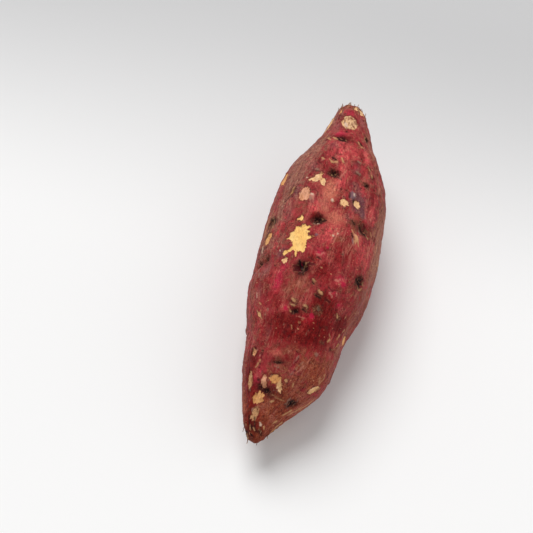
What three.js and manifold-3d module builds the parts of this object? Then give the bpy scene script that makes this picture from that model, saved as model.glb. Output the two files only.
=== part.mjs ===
// A red-skinned sweet potato as it was dug: one storage root with a torn stem end, a tapered root end,
// root scars ("eyes") sunk into its skin, shallow furrows, and the stubs of its fine roots.
// Millimetres, +Z up. The root lies along Y with its stem end at +Y, and rests on a small flat spot
// on the plane z = 0. The origin is in that spot, under the centre of mass.
import * as THREE from "three";
import { mergeVertices } from "three/addons/utils/BufferGeometryUtils.js";
import Module from "manifold-3d";

const wasm = await Module();
wasm.setup();

// Driving dimensions
const LENGTH = 183; // from the root tip to the torn stem end, without its fibres
const BELLY_WIDTH = 59.6; // across the widest part
const BELLY_HEIGHT = 57.2; // from top to underside at the widest part, before the flat spot
const ROOT_TIP_Y = -94.7; // puts the centre of mass over the origin
const REST_CUT = 0.6; // how deep the flat spot is worn into the round of the underside

// The form from the root tip (0) to the stem end (1). Each row gives the distance along the root as a
// share of LENGTH, the sideways place and the height of the middle line in mm, and the width and the
// height as shares of the belly's.
const FORM = [
  [0.0, -6.8, 18.6, 0.0, 0.0],
  [0.009, -6.8, 18.7, 0.114, 0.112],
  [0.032, -6.4, 19.2, 0.205, 0.203],
  [0.077, -5.1, 20.4, 0.362, 0.357],
  [0.131, -2.4, 22.6, 0.55, 0.545],
  [0.191, -0.3, 25.0, 0.698, 0.692],
  [0.262, 0.0, 26.6, 0.768, 0.776],
  [0.333, -0.3, 27.5, 0.846, 0.86],
  [0.404, 0.5, 28.1, 0.953, 0.958],
  [0.481, 1.0, 28.4, 0.993, 1.0],
  [0.563, 0.8, 28.7, 1.0, 1.0],
  [0.645, 0.3, 29.5, 0.973, 0.976],
  [0.716, -0.2, 30.9, 0.926, 0.927],
  [0.776, -1.0, 32.7, 0.826, 0.839],
  [0.831, -0.6, 34.9, 0.651, 0.678],
  [0.883, -0.9, 37.0, 0.477, 0.503],
  [0.929, -1.6, 38.6, 0.366, 0.381],
  [0.967, -2.2, 39.9, 0.275, 0.294],
  [0.991, -2.6, 40.7, 0.188, 0.203],
  [1.0, -2.7, 41.0, 0.0, 0.0],
];

// Eyes: distance along from the root tip and width across in mm, place around the root in degrees
// (0 is +X, 90 is the top), depth in mm.
const EYES = [
  { along: 162, around: 42, width: 3.5, depth: 1.0 },
  { along: 157.5, around: 97, width: 6.5, depth: 1.4 },
  { along: 156.5, around: 61, width: 3.5, depth: 0.6 },
  { along: 141, around: 95, width: 4.5, depth: 0.6 },
  { along: 140, around: 42, width: 3.5, depth: 0.8 },
  { along: 133.5, around: 52, width: 4.0, depth: 1.2 },
  { along: 132.5, around: 92, width: 5.5, depth: 1.6 },
  { along: 108, around: 46, width: 7.0, depth: 1.8 },
  { along: 105.5, around: 96, width: 7.0, depth: 2.2 },
  { along: 104.5, around: 154, width: 5.5, depth: 1.4 },
  { along: 84.5, around: 147, width: 4.5, depth: 1.2 },
  { along: 83, around: 38, width: 6.5, depth: 1.6 },
  { along: 81, around: 158, width: 4.5, depth: 1.2 },
  { along: 78, around: 97, width: 8.5, depth: 2.7 },
  { along: 60.5, around: 67, width: 5.0, depth: 1.0 },
  { along: 57, around: 93, width: 5.5, depth: 1.4 },
  { along: 48, around: 31, width: 3.5, depth: 0.7 },
  { along: 37, around: 140, width: 4.5, depth: 1.1 },
  { along: 33, around: 100, width: 6.0, depth: 1.0 },
  { along: 20.5, around: 100, width: 8.0, depth: 1.3 },
  { along: 19, around: 42, width: 5.0, depth: 1.2 },
];
// The far side carries its eyes in ranks along the root, as fine roots grow; steps keep them uneven.
const EYE_RANKS = [196, 233, 268, 305, 342];
const EYES_IN_RANK = 5;

// Furrows between two places on the skin, with their width and depth in mm (a negative depth is a ridge).
const FURROWS = [
  { from: [134, 88], to: [98, 82], width: 5, depth: 0.7 },
  { from: [78, 174], to: [87, 138], width: 4.5, depth: 1.2 },
  { from: [112, 60], to: [62, 52], width: 9, depth: 0.6 },
  { from: [160, 75], to: [118, 62], width: 7, depth: 0.6 },
  { from: [150, 205], to: [70, 214], width: 8, depth: 1.1 },
  { from: [118, 292], to: [40, 284], width: 8, depth: 1.0 },
  { from: [104, 14], to: [50, 2], width: 8, depth: 0.9 },
  { from: [158, 330], to: [120, 318], width: 6, depth: 0.8 },
  { from: [60, 128], to: [30, 124], width: 7, depth: 0.6 },
  { from: [24, 124], to: [18, 78], width: 3.5, depth: 0.6 },
];

// Broad swellings and hollows: place, radius and height in mm.
const SWELLINGS = [
  { along: 68, around: 158, radius: 16, height: 1.3 },
  { along: 84, around: 162, radius: 7, height: -0.9 },
  { along: 78, around: 96, radius: 11, height: -0.9 },
  { along: 106, around: 97, radius: 9, height: -0.7 },
  { along: 94, around: 70, radius: 14, height: 0.8 },
  { along: 72, around: 56, radius: 5, height: 0.7 },
  { along: 68, around: 65, radius: 4, height: 0.8 },
  { along: 66, around: 74, radius: 3.5, height: 0.6 },
  { along: 121, around: 114, radius: 6, height: 0.7 },
  { along: 40, around: 92, radius: 12, height: 0.7 },
  { along: 30, around: 20, radius: 9, height: 0.8 },
  { along: 96, around: 205, radius: 14, height: 1.0 },
  { along: 60, around: 318, radius: 14, height: -0.9 },
  { along: 128, around: 262, radius: 15, height: 0.9 },
  { along: 140, around: 12, radius: 9, height: 0.6 },
];

// Three low lengthwise lobes make the section a little uneven.
const LOBES = 3;
const LOBE_HEIGHT = 0.45;
const LOBE_TWIST = 0.011; // radians for each mm along

// The torn stem end: a ragged rim round a sunken core.
const RIM_RADIUS = 4.2;
const RIM_HEIGHT = 0.9;
const CORE_DEPTH = 1.3;
const RIM_TEETH = 7;

// Fibres and fine roots
const STRAND_SIDES = 5;
const STRAND_STEPS = 3;
const STRAND_SINK = 1.6; // how far a strand's foot is sunk into the body
const STRAND_TIP = 0.6; // thickness at the free end
const STEM_FIBRES = 13;
const ROOT_FIBRES = 6;

// Mesh fineness in mm: plain skin, the middle of a feature, and how fast it coarsens between them.
const PLAIN_EDGE = 6.6;
const FINE_EDGE = 2.0;
const EDGE_GROWTH = 0.85;
const END_EDGE = 2.7;
const STEM_EDGE = 1.4;
const START_DETAIL = 6;

const MATERIAL = new THREE.MeshStandardMaterial({ color: 0x8e3b40, roughness: 0.62, metalness: 0 });
const GOLDEN = (Math.sqrt(5) - 1) / 2;
const toRadians = THREE.MathUtils.degToRad;
const share = (n) => n - Math.floor(n);

// Even steps of the golden share, which never repeat and leave no gap.
const spread = (i, low, high) => low + (high - low) * share((i + 1) * GOLDEN);

// Rows in mm, with a mirrored row past each tip so that both ends close round.
const rows = FORM.map(([along, x, z, width, height]) => [
  along * LENGTH,
  x,
  z,
  (width * BELLY_WIDTH) / 2,
  (height * BELLY_HEIGHT) / 2,
]);
const mirrored = ([along, x, z, width, height]) => [along, x, z, -width, -height];
const padded = [mirrored(rows[1]), ...rows, mirrored(rows.at(-2))];
const LAST_ROW = rows.length - 1;

// Form values at a fractional row number, on a Catmull-Rom curve.
function formAt(rowNumber) {
  const i = Math.min(Math.floor(rowNumber), LAST_ROW - 1);
  const f = rowNumber - i;
  return padded[i].map((p0, k) => {
    const [p1, p2, p3] = [padded[i + 1][k], padded[i + 2][k], padded[i + 3][k]];
    return p1 + 0.5 * f * (p2 - p0 + f * (2 * p0 - 5 * p1 + 4 * p2 - p3 + f * (3 * (p1 - p2) + p3 - p0)));
  });
}

// Point of the plain body for a unit direction: its angle from the root tip picks the row.
function plainPoint(direction) {
  const rowNumber = (LAST_ROW * Math.acos(THREE.MathUtils.clamp(-direction.y, -1, 1))) / Math.PI;
  const around = Math.atan2(direction.z, direction.x);
  const [along, x, z, halfWidth, halfHeight] = formAt(rowNumber);
  return new THREE.Vector3(
    x + halfWidth * Math.cos(around),
    ROOT_TIP_Y + along,
    z + halfHeight * Math.sin(around),
  );
}

// Unit direction of a place on the skin, given in mm along and degrees around.
function directionOf(along, around) {
  let low = 0;
  let high = LAST_ROW;
  while (high - low > 1e-6) {
    const middle = (low + high) / 2;
    if (formAt(middle)[0] < along) low = middle;
    else high = middle;
  }
  const fromTip = (low / LAST_ROW) * Math.PI;
  const turn = toRadians(around);
  return new THREE.Vector3(
    Math.sin(fromTip) * Math.cos(turn),
    -Math.cos(fromTip),
    Math.sin(fromTip) * Math.sin(turn),
  );
}

// Outward normal of the plain body, from a small cross of neighbours on the unit sphere.
function plainNormal(direction) {
  const step = 2e-3;
  const helper = Math.abs(direction.x) < 0.6 ? new THREE.Vector3(1, 0, 0) : new THREE.Vector3(0, 0, 1);
  const a = new THREE.Vector3().crossVectors(direction, helper).normalize();
  const b = new THREE.Vector3().crossVectors(direction, a);
  const beside = (axis, s) => plainPoint(direction.clone().addScaledVector(axis, s).normalize());
  const alongA = beside(a, step).sub(beside(a, -step));
  const alongB = beside(b, step).sub(beside(b, -step));
  return alongA.cross(alongB).normalize();
}

// A place on the plain skin with its own axes: up (out of the skin), across and along.
function placeOn(along, around) {
  const direction = directionOf(along, around);
  const up = plainNormal(direction);
  const across = new THREE.Vector3(0, 1, 0).cross(up).normalize();
  return { point: plainPoint(direction), up, across, along: new THREE.Vector3().crossVectors(up, across) };
}

const farEyes = EYE_RANKS.flatMap((around, rank) =>
  Array.from({ length: EYES_IN_RANK }, (_, i) => {
    const number = rank * EYES_IN_RANK + i;
    return {
      along: 26 + 28 * i + spread(number, -9, 11),
      around: around + spread(3 * number + 1, -7, 7),
      width: spread(5 * number + 2, 3.5, 7.5),
      depth: spread(7 * number + 3, 0.7, 1.9),
    };
  }),
);
const eyes = [...EYES, ...farEyes].map((eye) => ({ ...eye, place: placeOn(eye.along, eye.around) }));
const swellings = SWELLINGS.map((s) => ({ ...s, place: placeOn(s.along, s.around) }));
const FURROW_POINTS = 10;
const furrows = FURROWS.map(({ from, to, width, depth }) => {
  const points = Array.from({ length: FURROW_POINTS + 1 }, (_, i) => {
    const f = i / FURROW_POINTS;
    return placeOn(from[0] + (to[0] - from[0]) * f, from[1] + (to[1] - from[1]) * f).point;
  });
  return { points, width, depth };
});

// An eye is a pit wider than it is long, under a low brow on its stem side.
function eyeRelief(point) {
  let relief = 0;
  for (const { place, width, depth } of eyes) {
    const offset = point.clone().sub(place.point);
    if (offset.lengthSq() > 4 * width * width) continue;
    const across = offset.dot(place.across) / (0.42 * width);
    const along = offset.dot(place.along) / (0.27 * width);
    relief -= depth * Math.exp(-(across * across + along * along));
    const brow = (along - 1.75) / 0.75;
    relief += 0.42 * depth * Math.exp(-(0.55 * across * across + brow * brow));
  }
  return relief;
}

function swellingRelief(point) {
  let relief = 0;
  for (const { place, radius, height } of swellings) {
    const q = point.distanceToSquared(place.point) / (radius * radius);
    if (q < 9) relief += height * Math.exp(-1.4 * q);
  }
  return relief;
}

// A furrow fades out at both ends of its line.
function furrowRelief(point) {
  let relief = 0;
  const nearest = new THREE.Vector3();
  const line = new THREE.Line3();
  for (const { points, width, depth } of furrows) {
    let best = Infinity;
    let at = 0;
    for (let i = 0; i < FURROW_POINTS; i++) {
      line.set(points[i], points[i + 1]);
      const f = line.closestPointToPointParameter(point, true);
      const distance = line.at(f, nearest).distanceTo(point);
      if (distance < best) {
        best = distance;
        at = (i + f) / FURROW_POINTS;
      }
    }
    const q = best / (0.5 * width);
    if (q < 3) relief -= depth * Math.exp(-q * q) * Math.sin(Math.PI * at) ** 0.7;
  }
  return relief;
}

const stemTip = plainPoint(new THREE.Vector3(0, 1, 0));
function stemEndRelief(point) {
  const offset = point.clone().sub(stemTip);
  const out = Math.hypot(offset.x, offset.z);
  if (offset.y < -12) return 0;
  const turn = Math.atan2(offset.z, offset.x);
  const fade = Math.exp(-((offset.y / 4) ** 2));
  const ragged = 0.6 + 0.4 * Math.sin(RIM_TEETH * turn + 2 * Math.sin(2 * turn));
  const rim = RIM_HEIGHT * ragged * Math.exp(-(((out - RIM_RADIUS) / 1.3) ** 2));
  const core = CORE_DEPTH * Math.exp(-((out / (0.62 * RIM_RADIUS)) ** 2));
  return fade * (rim - core);
}

// Point of the finished skin for a unit direction.
function skinPoint(direction) {
  const point = plainPoint(direction);
  const around = Math.atan2(direction.z, direction.x);
  const along = point.y - ROOT_TIP_Y;
  const fadeAtEnds = Math.sin((Math.PI * along) / LENGTH);
  const relief =
    LOBE_HEIGHT * fadeAtEnds * Math.cos(LOBES * around + LOBE_TWIST * along * LOBES) +
    eyeRelief(point) +
    swellingRelief(point) +
    furrowRelief(point) +
    stemEndRelief(point);
  return point.addScaledVector(plainNormal(direction), relief);
}

// Longest edge that the mesh may have near a point of the skin.
function wantedEdge(point) {
  const along = point.y - ROOT_TIP_Y;
  const toEnd = Math.max(0, Math.min(along, LENGTH - along));
  let wanted = Math.min(PLAIN_EDGE, END_EDGE + 0.12 * toEnd);
  const toStem = Math.max(0, point.distanceTo(stemTip) - 1.3 * RIM_RADIUS);
  wanted = Math.min(wanted, STEM_EDGE + EDGE_GROWTH * toStem);
  for (const { place, width } of eyes) {
    const past = Math.max(0, point.distanceTo(place.point) - 0.45 * width);
    wanted = Math.min(wanted, FINE_EDGE + EDGE_GROWTH * past);
  }
  return wanted;
}

// Halves the longest edges of a mesh on the unit sphere until none is longer than its place wants.
// An edge is halved when it is the worst edge of both its triangles, so no gap opens.
function refine(directions, triangles) {
  const points = directions.map(skinPoint);
  const key = (i, j) => Math.min(i, j) * 1e5 + Math.max(i, j);
  const excess = new Map();
  const excessOf = (i, j) => {
    const k = key(i, j);
    if (!excess.has(k)) {
      const middle = points[i].clone().lerp(points[j], 0.5);
      excess.set(k, points[i].distanceTo(points[j]) / wantedEdge(middle));
    }
    return excess.get(k);
  };
  for (;;) {
    const claims = new Map();
    const worst = triangles.map((triangle) => {
      let chosen = 0;
      for (let side = 1; side < 3; side++) {
        const [a, b] = [triangle[side], triangle[(side + 1) % 3]];
        const [c, d] = [triangle[chosen], triangle[(chosen + 1) % 3]];
        const difference = excessOf(a, b) - excessOf(c, d);
        if (difference > 0 || (difference === 0 && key(a, b) > key(c, d))) chosen = side;
      }
      const [i, j] = [triangle[chosen], triangle[(chosen + 1) % 3]];
      if (excessOf(i, j) <= 1) return -1;
      claims.set(key(i, j), (claims.get(key(i, j)) ?? 0) + 1);
      return chosen;
    });
    if (!claims.size) return { points, triangles };
    const middles = new Map();
    triangles = triangles.flatMap((triangle, n) => {
      if (worst[n] < 0) return [triangle];
      const [i, j, k] = [0, 1, 2].map((s) => triangle[(worst[n] + s) % 3]);
      const edge = key(i, j);
      if (claims.get(edge) < 2) return [triangle];
      if (!middles.has(edge)) {
        middles.set(edge, points.length);
        directions.push(directions[i].clone().add(directions[j]).normalize());
        points.push(skinPoint(directions.at(-1)));
      }
      const m = middles.get(edge);
      return [[i, m, k], [m, j, k]];
    });
  }
}

// A closed three.js geometry as a solid that can be joined and cut.
function solidOf(geometry) {
  const bare = new THREE.BufferGeometry().setAttribute("position", geometry.getAttribute("position"));
  if (geometry.index) bare.setIndex(geometry.index);
  const merged = mergeVertices(bare, 1e-4);
  return new wasm.Manifold(
    new wasm.Mesh({
      numProp: 3,
      vertProperties: new Float32Array(merged.attributes.position.array),
      triVerts: new Uint32Array(merged.index.array),
    }),
  );
}

function geometryFrom(points, triangles) {
  return new THREE.BufferGeometry().setFromPoints(points).setIndex(triangles.flat());
}

function bodySolid() {
  const ball = mergeVertices(
    new THREE.IcosahedronGeometry(1, START_DETAIL).deleteAttribute("normal").deleteAttribute("uv"),
    1e-5,
  );
  const position = ball.getAttribute("position");
  const directions = Array.from({ length: position.count }, (_, i) =>
    new THREE.Vector3().fromBufferAttribute(position, i).normalize(),
  );
  const corners = Array.from(ball.index.array);
  const triangles = Array.from({ length: corners.length / 3 }, (_, i) => corners.slice(3 * i, 3 * i + 3));
  const { points, triangles: fine } = refine(directions, triangles);
  return solidOf(geometryFrom(points, fine));
}

// A tapered strand: rings round a curve, closed at both ends.
function strandSolid(stops, footThickness) {
  const curve = new THREE.CatmullRomCurve3(stops);
  const { normals, binormals } = curve.computeFrenetFrames(STRAND_STEPS);
  const points = [];
  const triangles = [];
  for (let i = 0; i <= STRAND_STEPS; i++) {
    const f = i / STRAND_STEPS;
    const radius = THREE.MathUtils.lerp(footThickness, STRAND_TIP, f) / 2;
    const middle = curve.getPointAt(f);
    for (let j = 0; j < STRAND_SIDES; j++) {
      const turn = (2 * Math.PI * j) / STRAND_SIDES;
      points.push(
        middle
          .clone()
          .addScaledVector(normals[i], radius * Math.cos(turn))
          .addScaledVector(binormals[i], radius * Math.sin(turn)),
      );
    }
  }
  const at = (i, j) => i * STRAND_SIDES + (j % STRAND_SIDES);
  for (let j = 0; j < STRAND_SIDES; j++) {
    for (let i = 0; i < STRAND_STEPS; i++) {
      triangles.push([at(i, j), at(i, j + 1), at(i + 1, j + 1)], [at(i, j), at(i + 1, j + 1), at(i + 1, j)]);
    }
  }
  for (let j = 1; j < STRAND_SIDES - 1; j++) {
    triangles.push([at(0, 0), at(0, j + 1), at(0, j)]);
    triangles.push([at(STRAND_STEPS, 0), at(STRAND_STEPS, j), at(STRAND_STEPS, j + 1)]);
  }
  return solidOf(geometryFrom(points, triangles));
}

// A strand that stands on the skin at a place, leans and curls over sideways.
function strandOn(foot, lean, length, thickness, curl) {
  const heading = foot.up.clone().addScaledVector(foot.along, lean).normalize();
  const stops = [
    foot.point.clone().addScaledVector(heading, -STRAND_SINK),
    foot.point.clone().addScaledVector(heading, 0.35 * length),
    foot.point.clone().addScaledVector(heading, 0.7 * length).addScaledVector(foot.across, 0.35 * curl),
    foot.point.clone().addScaledVector(heading, length).addScaledVector(foot.across, curl),
  ];
  return strandSolid(stops, thickness);
}

// Short broken fibres stand round the torn stem end.
const stemFibres = Array.from({ length: STEM_FIBRES }, (_, i) =>
  strandOn(
    placeOn(LENGTH - spread(i, 0.8, 5.0), (360 * i) / STEM_FIBRES + spread(i, -9, 9)),
    spread(2 * i + 1, 1.2, 3.2),
    spread(3 * i + 2, 1.3, 2.7),
    spread(i + 5, 1.1, 1.8),
    spread(4 * i + 1, -0.6, 0.6),
  ),
);

// The root end breaks off in a stub with a few fine roots round it.
const rootStub = strandOn(placeOn(1.2, 150), -1.2, 3.4, 3.2, -0.8);
const rootFibres = Array.from({ length: ROOT_FIBRES }, (_, i) =>
  strandOn(
    placeOn(spread(i, 1.5, 7), 60 + (360 * i) / ROOT_FIBRES),
    spread(2 * i, -2.6, -0.8),
    spread(3 * i + 1, 1.5, 3.0),
    spread(i + 2, 0.9, 1.3),
    spread(4 * i + 3, -1.0, 1.0),
  ),
);

// Some eyes still hold the stub of their fine root.
const STUBBED_EYES = [0, 2, 9, 12, 17, 21, 24, 28, 33, 37, 42];
const eyeStubs = STUBBED_EYES.map((n, i) => {
  const { place, depth } = eyes[n];
  const sunk = { ...place, point: place.point.clone().addScaledVector(place.up, -depth) };
  return strandOn(sunk, spread(i, -0.5, 0.5), depth + spread(2 * i + 1, 0.2, 0.8), 1.3, spread(i + 4, -0.6, 0.6));
});

// The underside is worn flat where the root rests.
const floorBlock = new THREE.BoxGeometry(2 * LENGTH, 2 * LENGTH, 40).translate(0, 0, -20);
const whole = wasm.Manifold.union([bodySolid(), ...stemFibres, rootStub, ...rootFibres, ...eyeStubs]);
const lowest = whole.boundingBox().min[2];
const rested = whole.translate([0, 0, -lowest - REST_CUT]).subtract(solidOf(floorBlock));

const { numProp, vertProperties, triVerts } = rested.getMesh();
const corners = Array.from({ length: vertProperties.length / numProp }, (_, i) =>
  new THREE.Vector3().fromArray(vertProperties, i * numProp),
);
const sweetPotato = new THREE.Mesh(
  new THREE.BufferGeometry().setFromPoints(corners).setIndex(new THREE.BufferAttribute(triVerts, 1)),
  MATERIAL,
);
sweetPotato.name = "sweet_potato";

const group = new THREE.Group();
group.add(sweetPotato);
export default group;
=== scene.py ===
"""Dresses a red-skinned sweet potato: its streaked and blushed skin, scraped patches, sunken eyes,
torn fibres at the stem end, fine roots, loose flakes of skin and crumbs of soil."""

import math
from types import SimpleNamespace

import bpy
import numpy as np
from bpy.props import FloatProperty, FloatVectorProperty, IntProperty, PointerProperty
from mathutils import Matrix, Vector, noise


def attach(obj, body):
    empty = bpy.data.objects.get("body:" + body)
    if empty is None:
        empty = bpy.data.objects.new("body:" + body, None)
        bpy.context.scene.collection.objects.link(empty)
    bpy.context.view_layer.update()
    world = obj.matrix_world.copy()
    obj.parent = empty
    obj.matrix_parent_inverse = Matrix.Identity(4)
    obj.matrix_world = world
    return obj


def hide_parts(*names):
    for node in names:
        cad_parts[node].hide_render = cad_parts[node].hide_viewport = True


bl_info = {
    "name": "Sweet Potato",
    "version": (1, 0, 0),
    "blender": (4, 5, 0),
    "location": "3D View > Sidebar > Sweet Potato",
    "description": "Grows a sweet potato with its skin, eyes, scars, fibres and soil",
    "category": "Add Mesh",
}

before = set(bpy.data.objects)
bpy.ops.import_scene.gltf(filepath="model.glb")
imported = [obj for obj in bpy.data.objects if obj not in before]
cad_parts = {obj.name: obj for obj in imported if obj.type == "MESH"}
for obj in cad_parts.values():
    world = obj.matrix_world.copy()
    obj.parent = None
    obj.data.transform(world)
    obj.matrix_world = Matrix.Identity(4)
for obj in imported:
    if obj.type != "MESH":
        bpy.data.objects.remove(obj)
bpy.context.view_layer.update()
BODY = "root"
NODE = "sweet_potato"
MM = 0.001
GOLDEN = (math.sqrt(5) - 1) / 2
PLASTIC = 0.7548776662  # with its square, it fills a surface as evenly as the golden share fills a line

# The form of the root in mm, as the solid has it: from the root tip to the stem end, a row has the
# share of the length, the sideways place and the height of the middle line, and the width and the
# height as shares of the belly's.
LENGTH = 183.0
BELLY_WIDTH = 59.6
BELLY_HEIGHT = 57.2
ROOT_TIP_Y = -94.7
REST_CUT = 0.6
FORM = [
    (0.0, -6.8, 18.6, 0.0, 0.0),
    (0.009, -6.8, 18.7, 0.114, 0.112),
    (0.032, -6.4, 19.2, 0.205, 0.203),
    (0.077, -5.1, 20.4, 0.362, 0.357),
    (0.131, -2.4, 22.6, 0.55, 0.545),
    (0.191, -0.3, 25.0, 0.698, 0.692),
    (0.262, 0.0, 26.6, 0.768, 0.776),
    (0.333, -0.3, 27.5, 0.846, 0.86),
    (0.404, 0.5, 28.1, 0.953, 0.958),
    (0.481, 1.0, 28.4, 0.993, 1.0),
    (0.563, 0.8, 28.7, 1.0, 1.0),
    (0.645, 0.3, 29.5, 0.973, 0.976),
    (0.716, -0.2, 30.9, 0.926, 0.927),
    (0.776, -1.0, 32.7, 0.826, 0.839),
    (0.831, -0.6, 34.9, 0.651, 0.678),
    (0.883, -0.9, 37.0, 0.477, 0.503),
    (0.929, -1.6, 38.6, 0.366, 0.381),
    (0.967, -2.2, 39.9, 0.275, 0.294),
    (0.991, -2.6, 40.7, 0.188, 0.203),
    (1.0, -2.7, 41.0, 0.0, 0.0),
]

# Eyes: mm along from the root tip, degrees around (0 is +X, 90 is the top), width and depth in mm.
# Then how their mark looks: its darkness and its crust from 0 to 1, its height as a share of its
# width, and its turn in degrees.
EYES = [
    (162.5, 43, 3.0, 1.0, 0.9, 0.3, 1.0, 0),
    (156.1, 95, 7.0, 1.4, 1.1, 0.0, 0.46, -10),
    (156.3, 62, 3.5, 0.6, 0.1, 0.2, 0.3, -10),
    (140.2, 95, 4.5, 0.6, 0.3, 0.1, 0.25, 12),
    (139.4, 44, 2.6, 0.8, 0.7, 0.3, 0.8, 0),
    (132.8, 53, 3.4, 1.2, 1.0, 0.3, 0.7, -15),
    (132.8, 91.5, 5.8, 1.6, 1.1, 0.2, 0.72, 10),
    (108.4, 50, 9.4, 1.8, 0.45, 1.0, 0.5, -14),
    (105.6, 96, 6.6, 2.2, 1.1, 0.1, 0.62, 12),
    (105.5, 150, 6.0, 1.4, 0.9, 1.0, 0.9, 20),
    (84.5, 147, 5.0, 1.2, 0.7, 0.4, 0.4, 30),
    (83, 36.5, 6.2, 1.6, 1.05, 0.7, 1.0, 0),
    (83.5, 159, 4.5, 1.2, 0.8, 0.2, 0.5, 20),
    (78.4, 98.2, 5.6, 2.7, 2.0, 0.0, 1.15, 0),
    (60.8, 68, 4.8, 1.0, 0.3, 0.8, 0.9, 0),
    (57, 92.5, 5.0, 1.4, 0.95, 0.4, 0.5, 15),
    (48, 31, 3.5, 0.7, 0.6, 0.5, 0.5, 0),
    # This eye's dark pit beside the blister also paints the blister's shadow.
    (37, 139.5, 4.4, 1.1, 0.95, 0.0, 0.85, 60),
    (32.5, 97.5, 6.2, 1.0, 0.85, 0.2, 0.22, 10),
    (20.3, 100.8, 9.5, 1.3, 1.1, 0.3, 0.3, -22),
    (19.4, 37, 4.8, 1.2, 0.95, 0.0, 0.8, 15),
]

# Small marks in the same columns, too slight to be in the solid.
SMALL_EYES = [
    (161.9, 91, 1.6, 0.2, 0.7, 0.0, 0.9, 0),
    (144.2, 66, 2.6, 0.3, 0.5, 0.3, 0.6, -5),
    (143.6, 50, 3.0, 0.3, 0.3, 0.7, 0.6, 0),
    (136.9, 65, 4.2, 0.3, 0.6, 0.3, 0.42, -12),
    (122, 134, 5.0, 0.4, 0.25, 0.5, 0.5, 45),
    (121.5, 34, 2.2, 0.3, 0.4, 0.4, 1.0, 0),
    (109.6, 62, 3.8, 0.4, 0.45, 0.5, 0.7, -10),
    (106.5, 67, 2.2, 0.3, 0.4, 0.3, 0.8, 0),
    (102.2, 117, 1.8, 0.1, 0.5, 0.0, 0.9, 0),
    (98, 152, 4.0, 0.5, 0.7, 0.5, 0.8, 30),
    (73.5, 83, 2.6, 0.3, 0.5, 0.5, 0.8, 0),
    (68.2, 73, 3.8, 0.5, 0.4, 0.9, 0.8, 0),
    (61, 96, 4.6, 0.4, 0.15, 0.9, 0.8, 0),
    (60, 82, 3.4, 0.4, 0.4, 0.7, 0.8, 0),
    (62.5, 43, 4.4, 0.3, 0.3, 0.8, 0.7, 0),
    (55, 51.5, 2.6, 0.3, 0.4, 0.5, 0.8, 0),
    (48, 50, 3.2, 0.2, 0.3, 0.6, 0.6, 0),
    (24.5, 118, 2.6, 0.3, 0.7, 0.2, 0.6, 0),
    (12, 131, 4.0, 0.4, 0.5, 0.3, 0.4, 35),
    (5, 110, 5.0, 0.4, 0.7, 0.2, 0.4, -20),
    (4, 60, 4.0, 0.4, 0.6, 0.3, 0.5, 0),
    (3, 160, 4.0, 0.4, 0.9, 0.0, 0.7, 0),
]
EYE_RANKS = [196, 233, 268, 305, 342]
EYES_IN_RANK = 5

# Furrows: from and to (mm along, degrees around), width and depth in mm.
FURROWS = [
    ((134, 88), (98, 82), 5, 0.7),
    ((78, 174), (87, 138), 4.5, 1.2),
    ((112, 60), (62, 52), 9, 0.6),
    ((160, 75), (118, 62), 7, 0.6),
    ((150, 205), (70, 214), 8, 1.1),
    ((118, 292), (40, 284), 8, 1.0),
    ((104, 14), (50, 2), 8, 0.9),
    ((158, 330), (120, 318), 6, 0.8),
    ((60, 128), (30, 124), 7, 0.6),
    ((24, 124), (18, 78), 3.5, 0.6),
]

# Swellings and hollows: mm along, degrees around, radius and height in mm.
SWELLINGS = [
    (68, 158, 16, 1.3),
    (84, 162, 7, -0.9),
    (78, 96, 11, -0.9),
    (106, 97, 9, -0.7),
    (94, 70, 14, 0.8),
    (72, 56, 5, 0.7),
    (68, 65, 4, 0.8),
    (66, 74, 3.5, 0.6),
    (121, 114, 6, 0.7),
    (40, 92, 12, 0.7),
    (30, 20, 9, 0.8),
    (96, 205, 14, 1.0),
    (60, 318, 14, -0.9),
    (128, 262, 15, 0.9),
    (140, 12, 9, 0.6),
]
BROW = 0.42  # height of the lip above an eye as a share of its depth
FURROW_PARTS = 10

# The low lobes that wind round the whole root: their number, height in mm and turn in radians a mm.
LOBES = 3
LOBE_HEIGHT = 0.45
LOBE_TWIST = 0.011

# The torn stem end in mm: a ragged rim round a sunken core, and how far out its bare flesh shows.
RIM_RADIUS = 4.2
RIM_HEIGHT = 0.9
RIM_TEETH = 7
CORE_DEPTH = 1.3
CORE_RADIUS = 3.4

# Fine relief that only the skin shows, in mm.
WRINKLE_HEIGHT = 0.4
PIT_ROUGHNESS = 0.3
CRUST_HEIGHT = 0.2
MARK_RISE = 0.12
MARK_SINK = 0.22

# Blisters, bulges and creases that only the skin shows, in the same columns as the swellings.
BLISTERS = [
    (128, 164, 12, 0.5),
    (112, 168, 14, 0.4),
    (117.4, 108, 1.9, 0.5),
    (123.8, 68, 2.4, 0.55),
    (36.7, 136, 1.5, 0.75),
    (118, 87, 0.9, 0.3),
    (137.5, 65, 1.8, 0.3),
    (144, 63, 1.5, 0.3),
    (41.7, 51.5, 1.9, 0.3),
    (26.4, 75, 1.5, 0.4),
    (70, 61, 2.6, 0.7),
    (77, 57, 2.6, 0.6),
    (87, 85, 2.2, 0.6),
    (90.5, 81, 1.5, 0.4),
    (89, 94, 2.0, 0.3),
    (83, 128, 7, -0.9),
    (82, 142, 6, -1.0),
    (64, 150, 12, 0.2),
    (118, 20, 16, -0.5),
    (150, 90, 10, 0.5),
]

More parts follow.
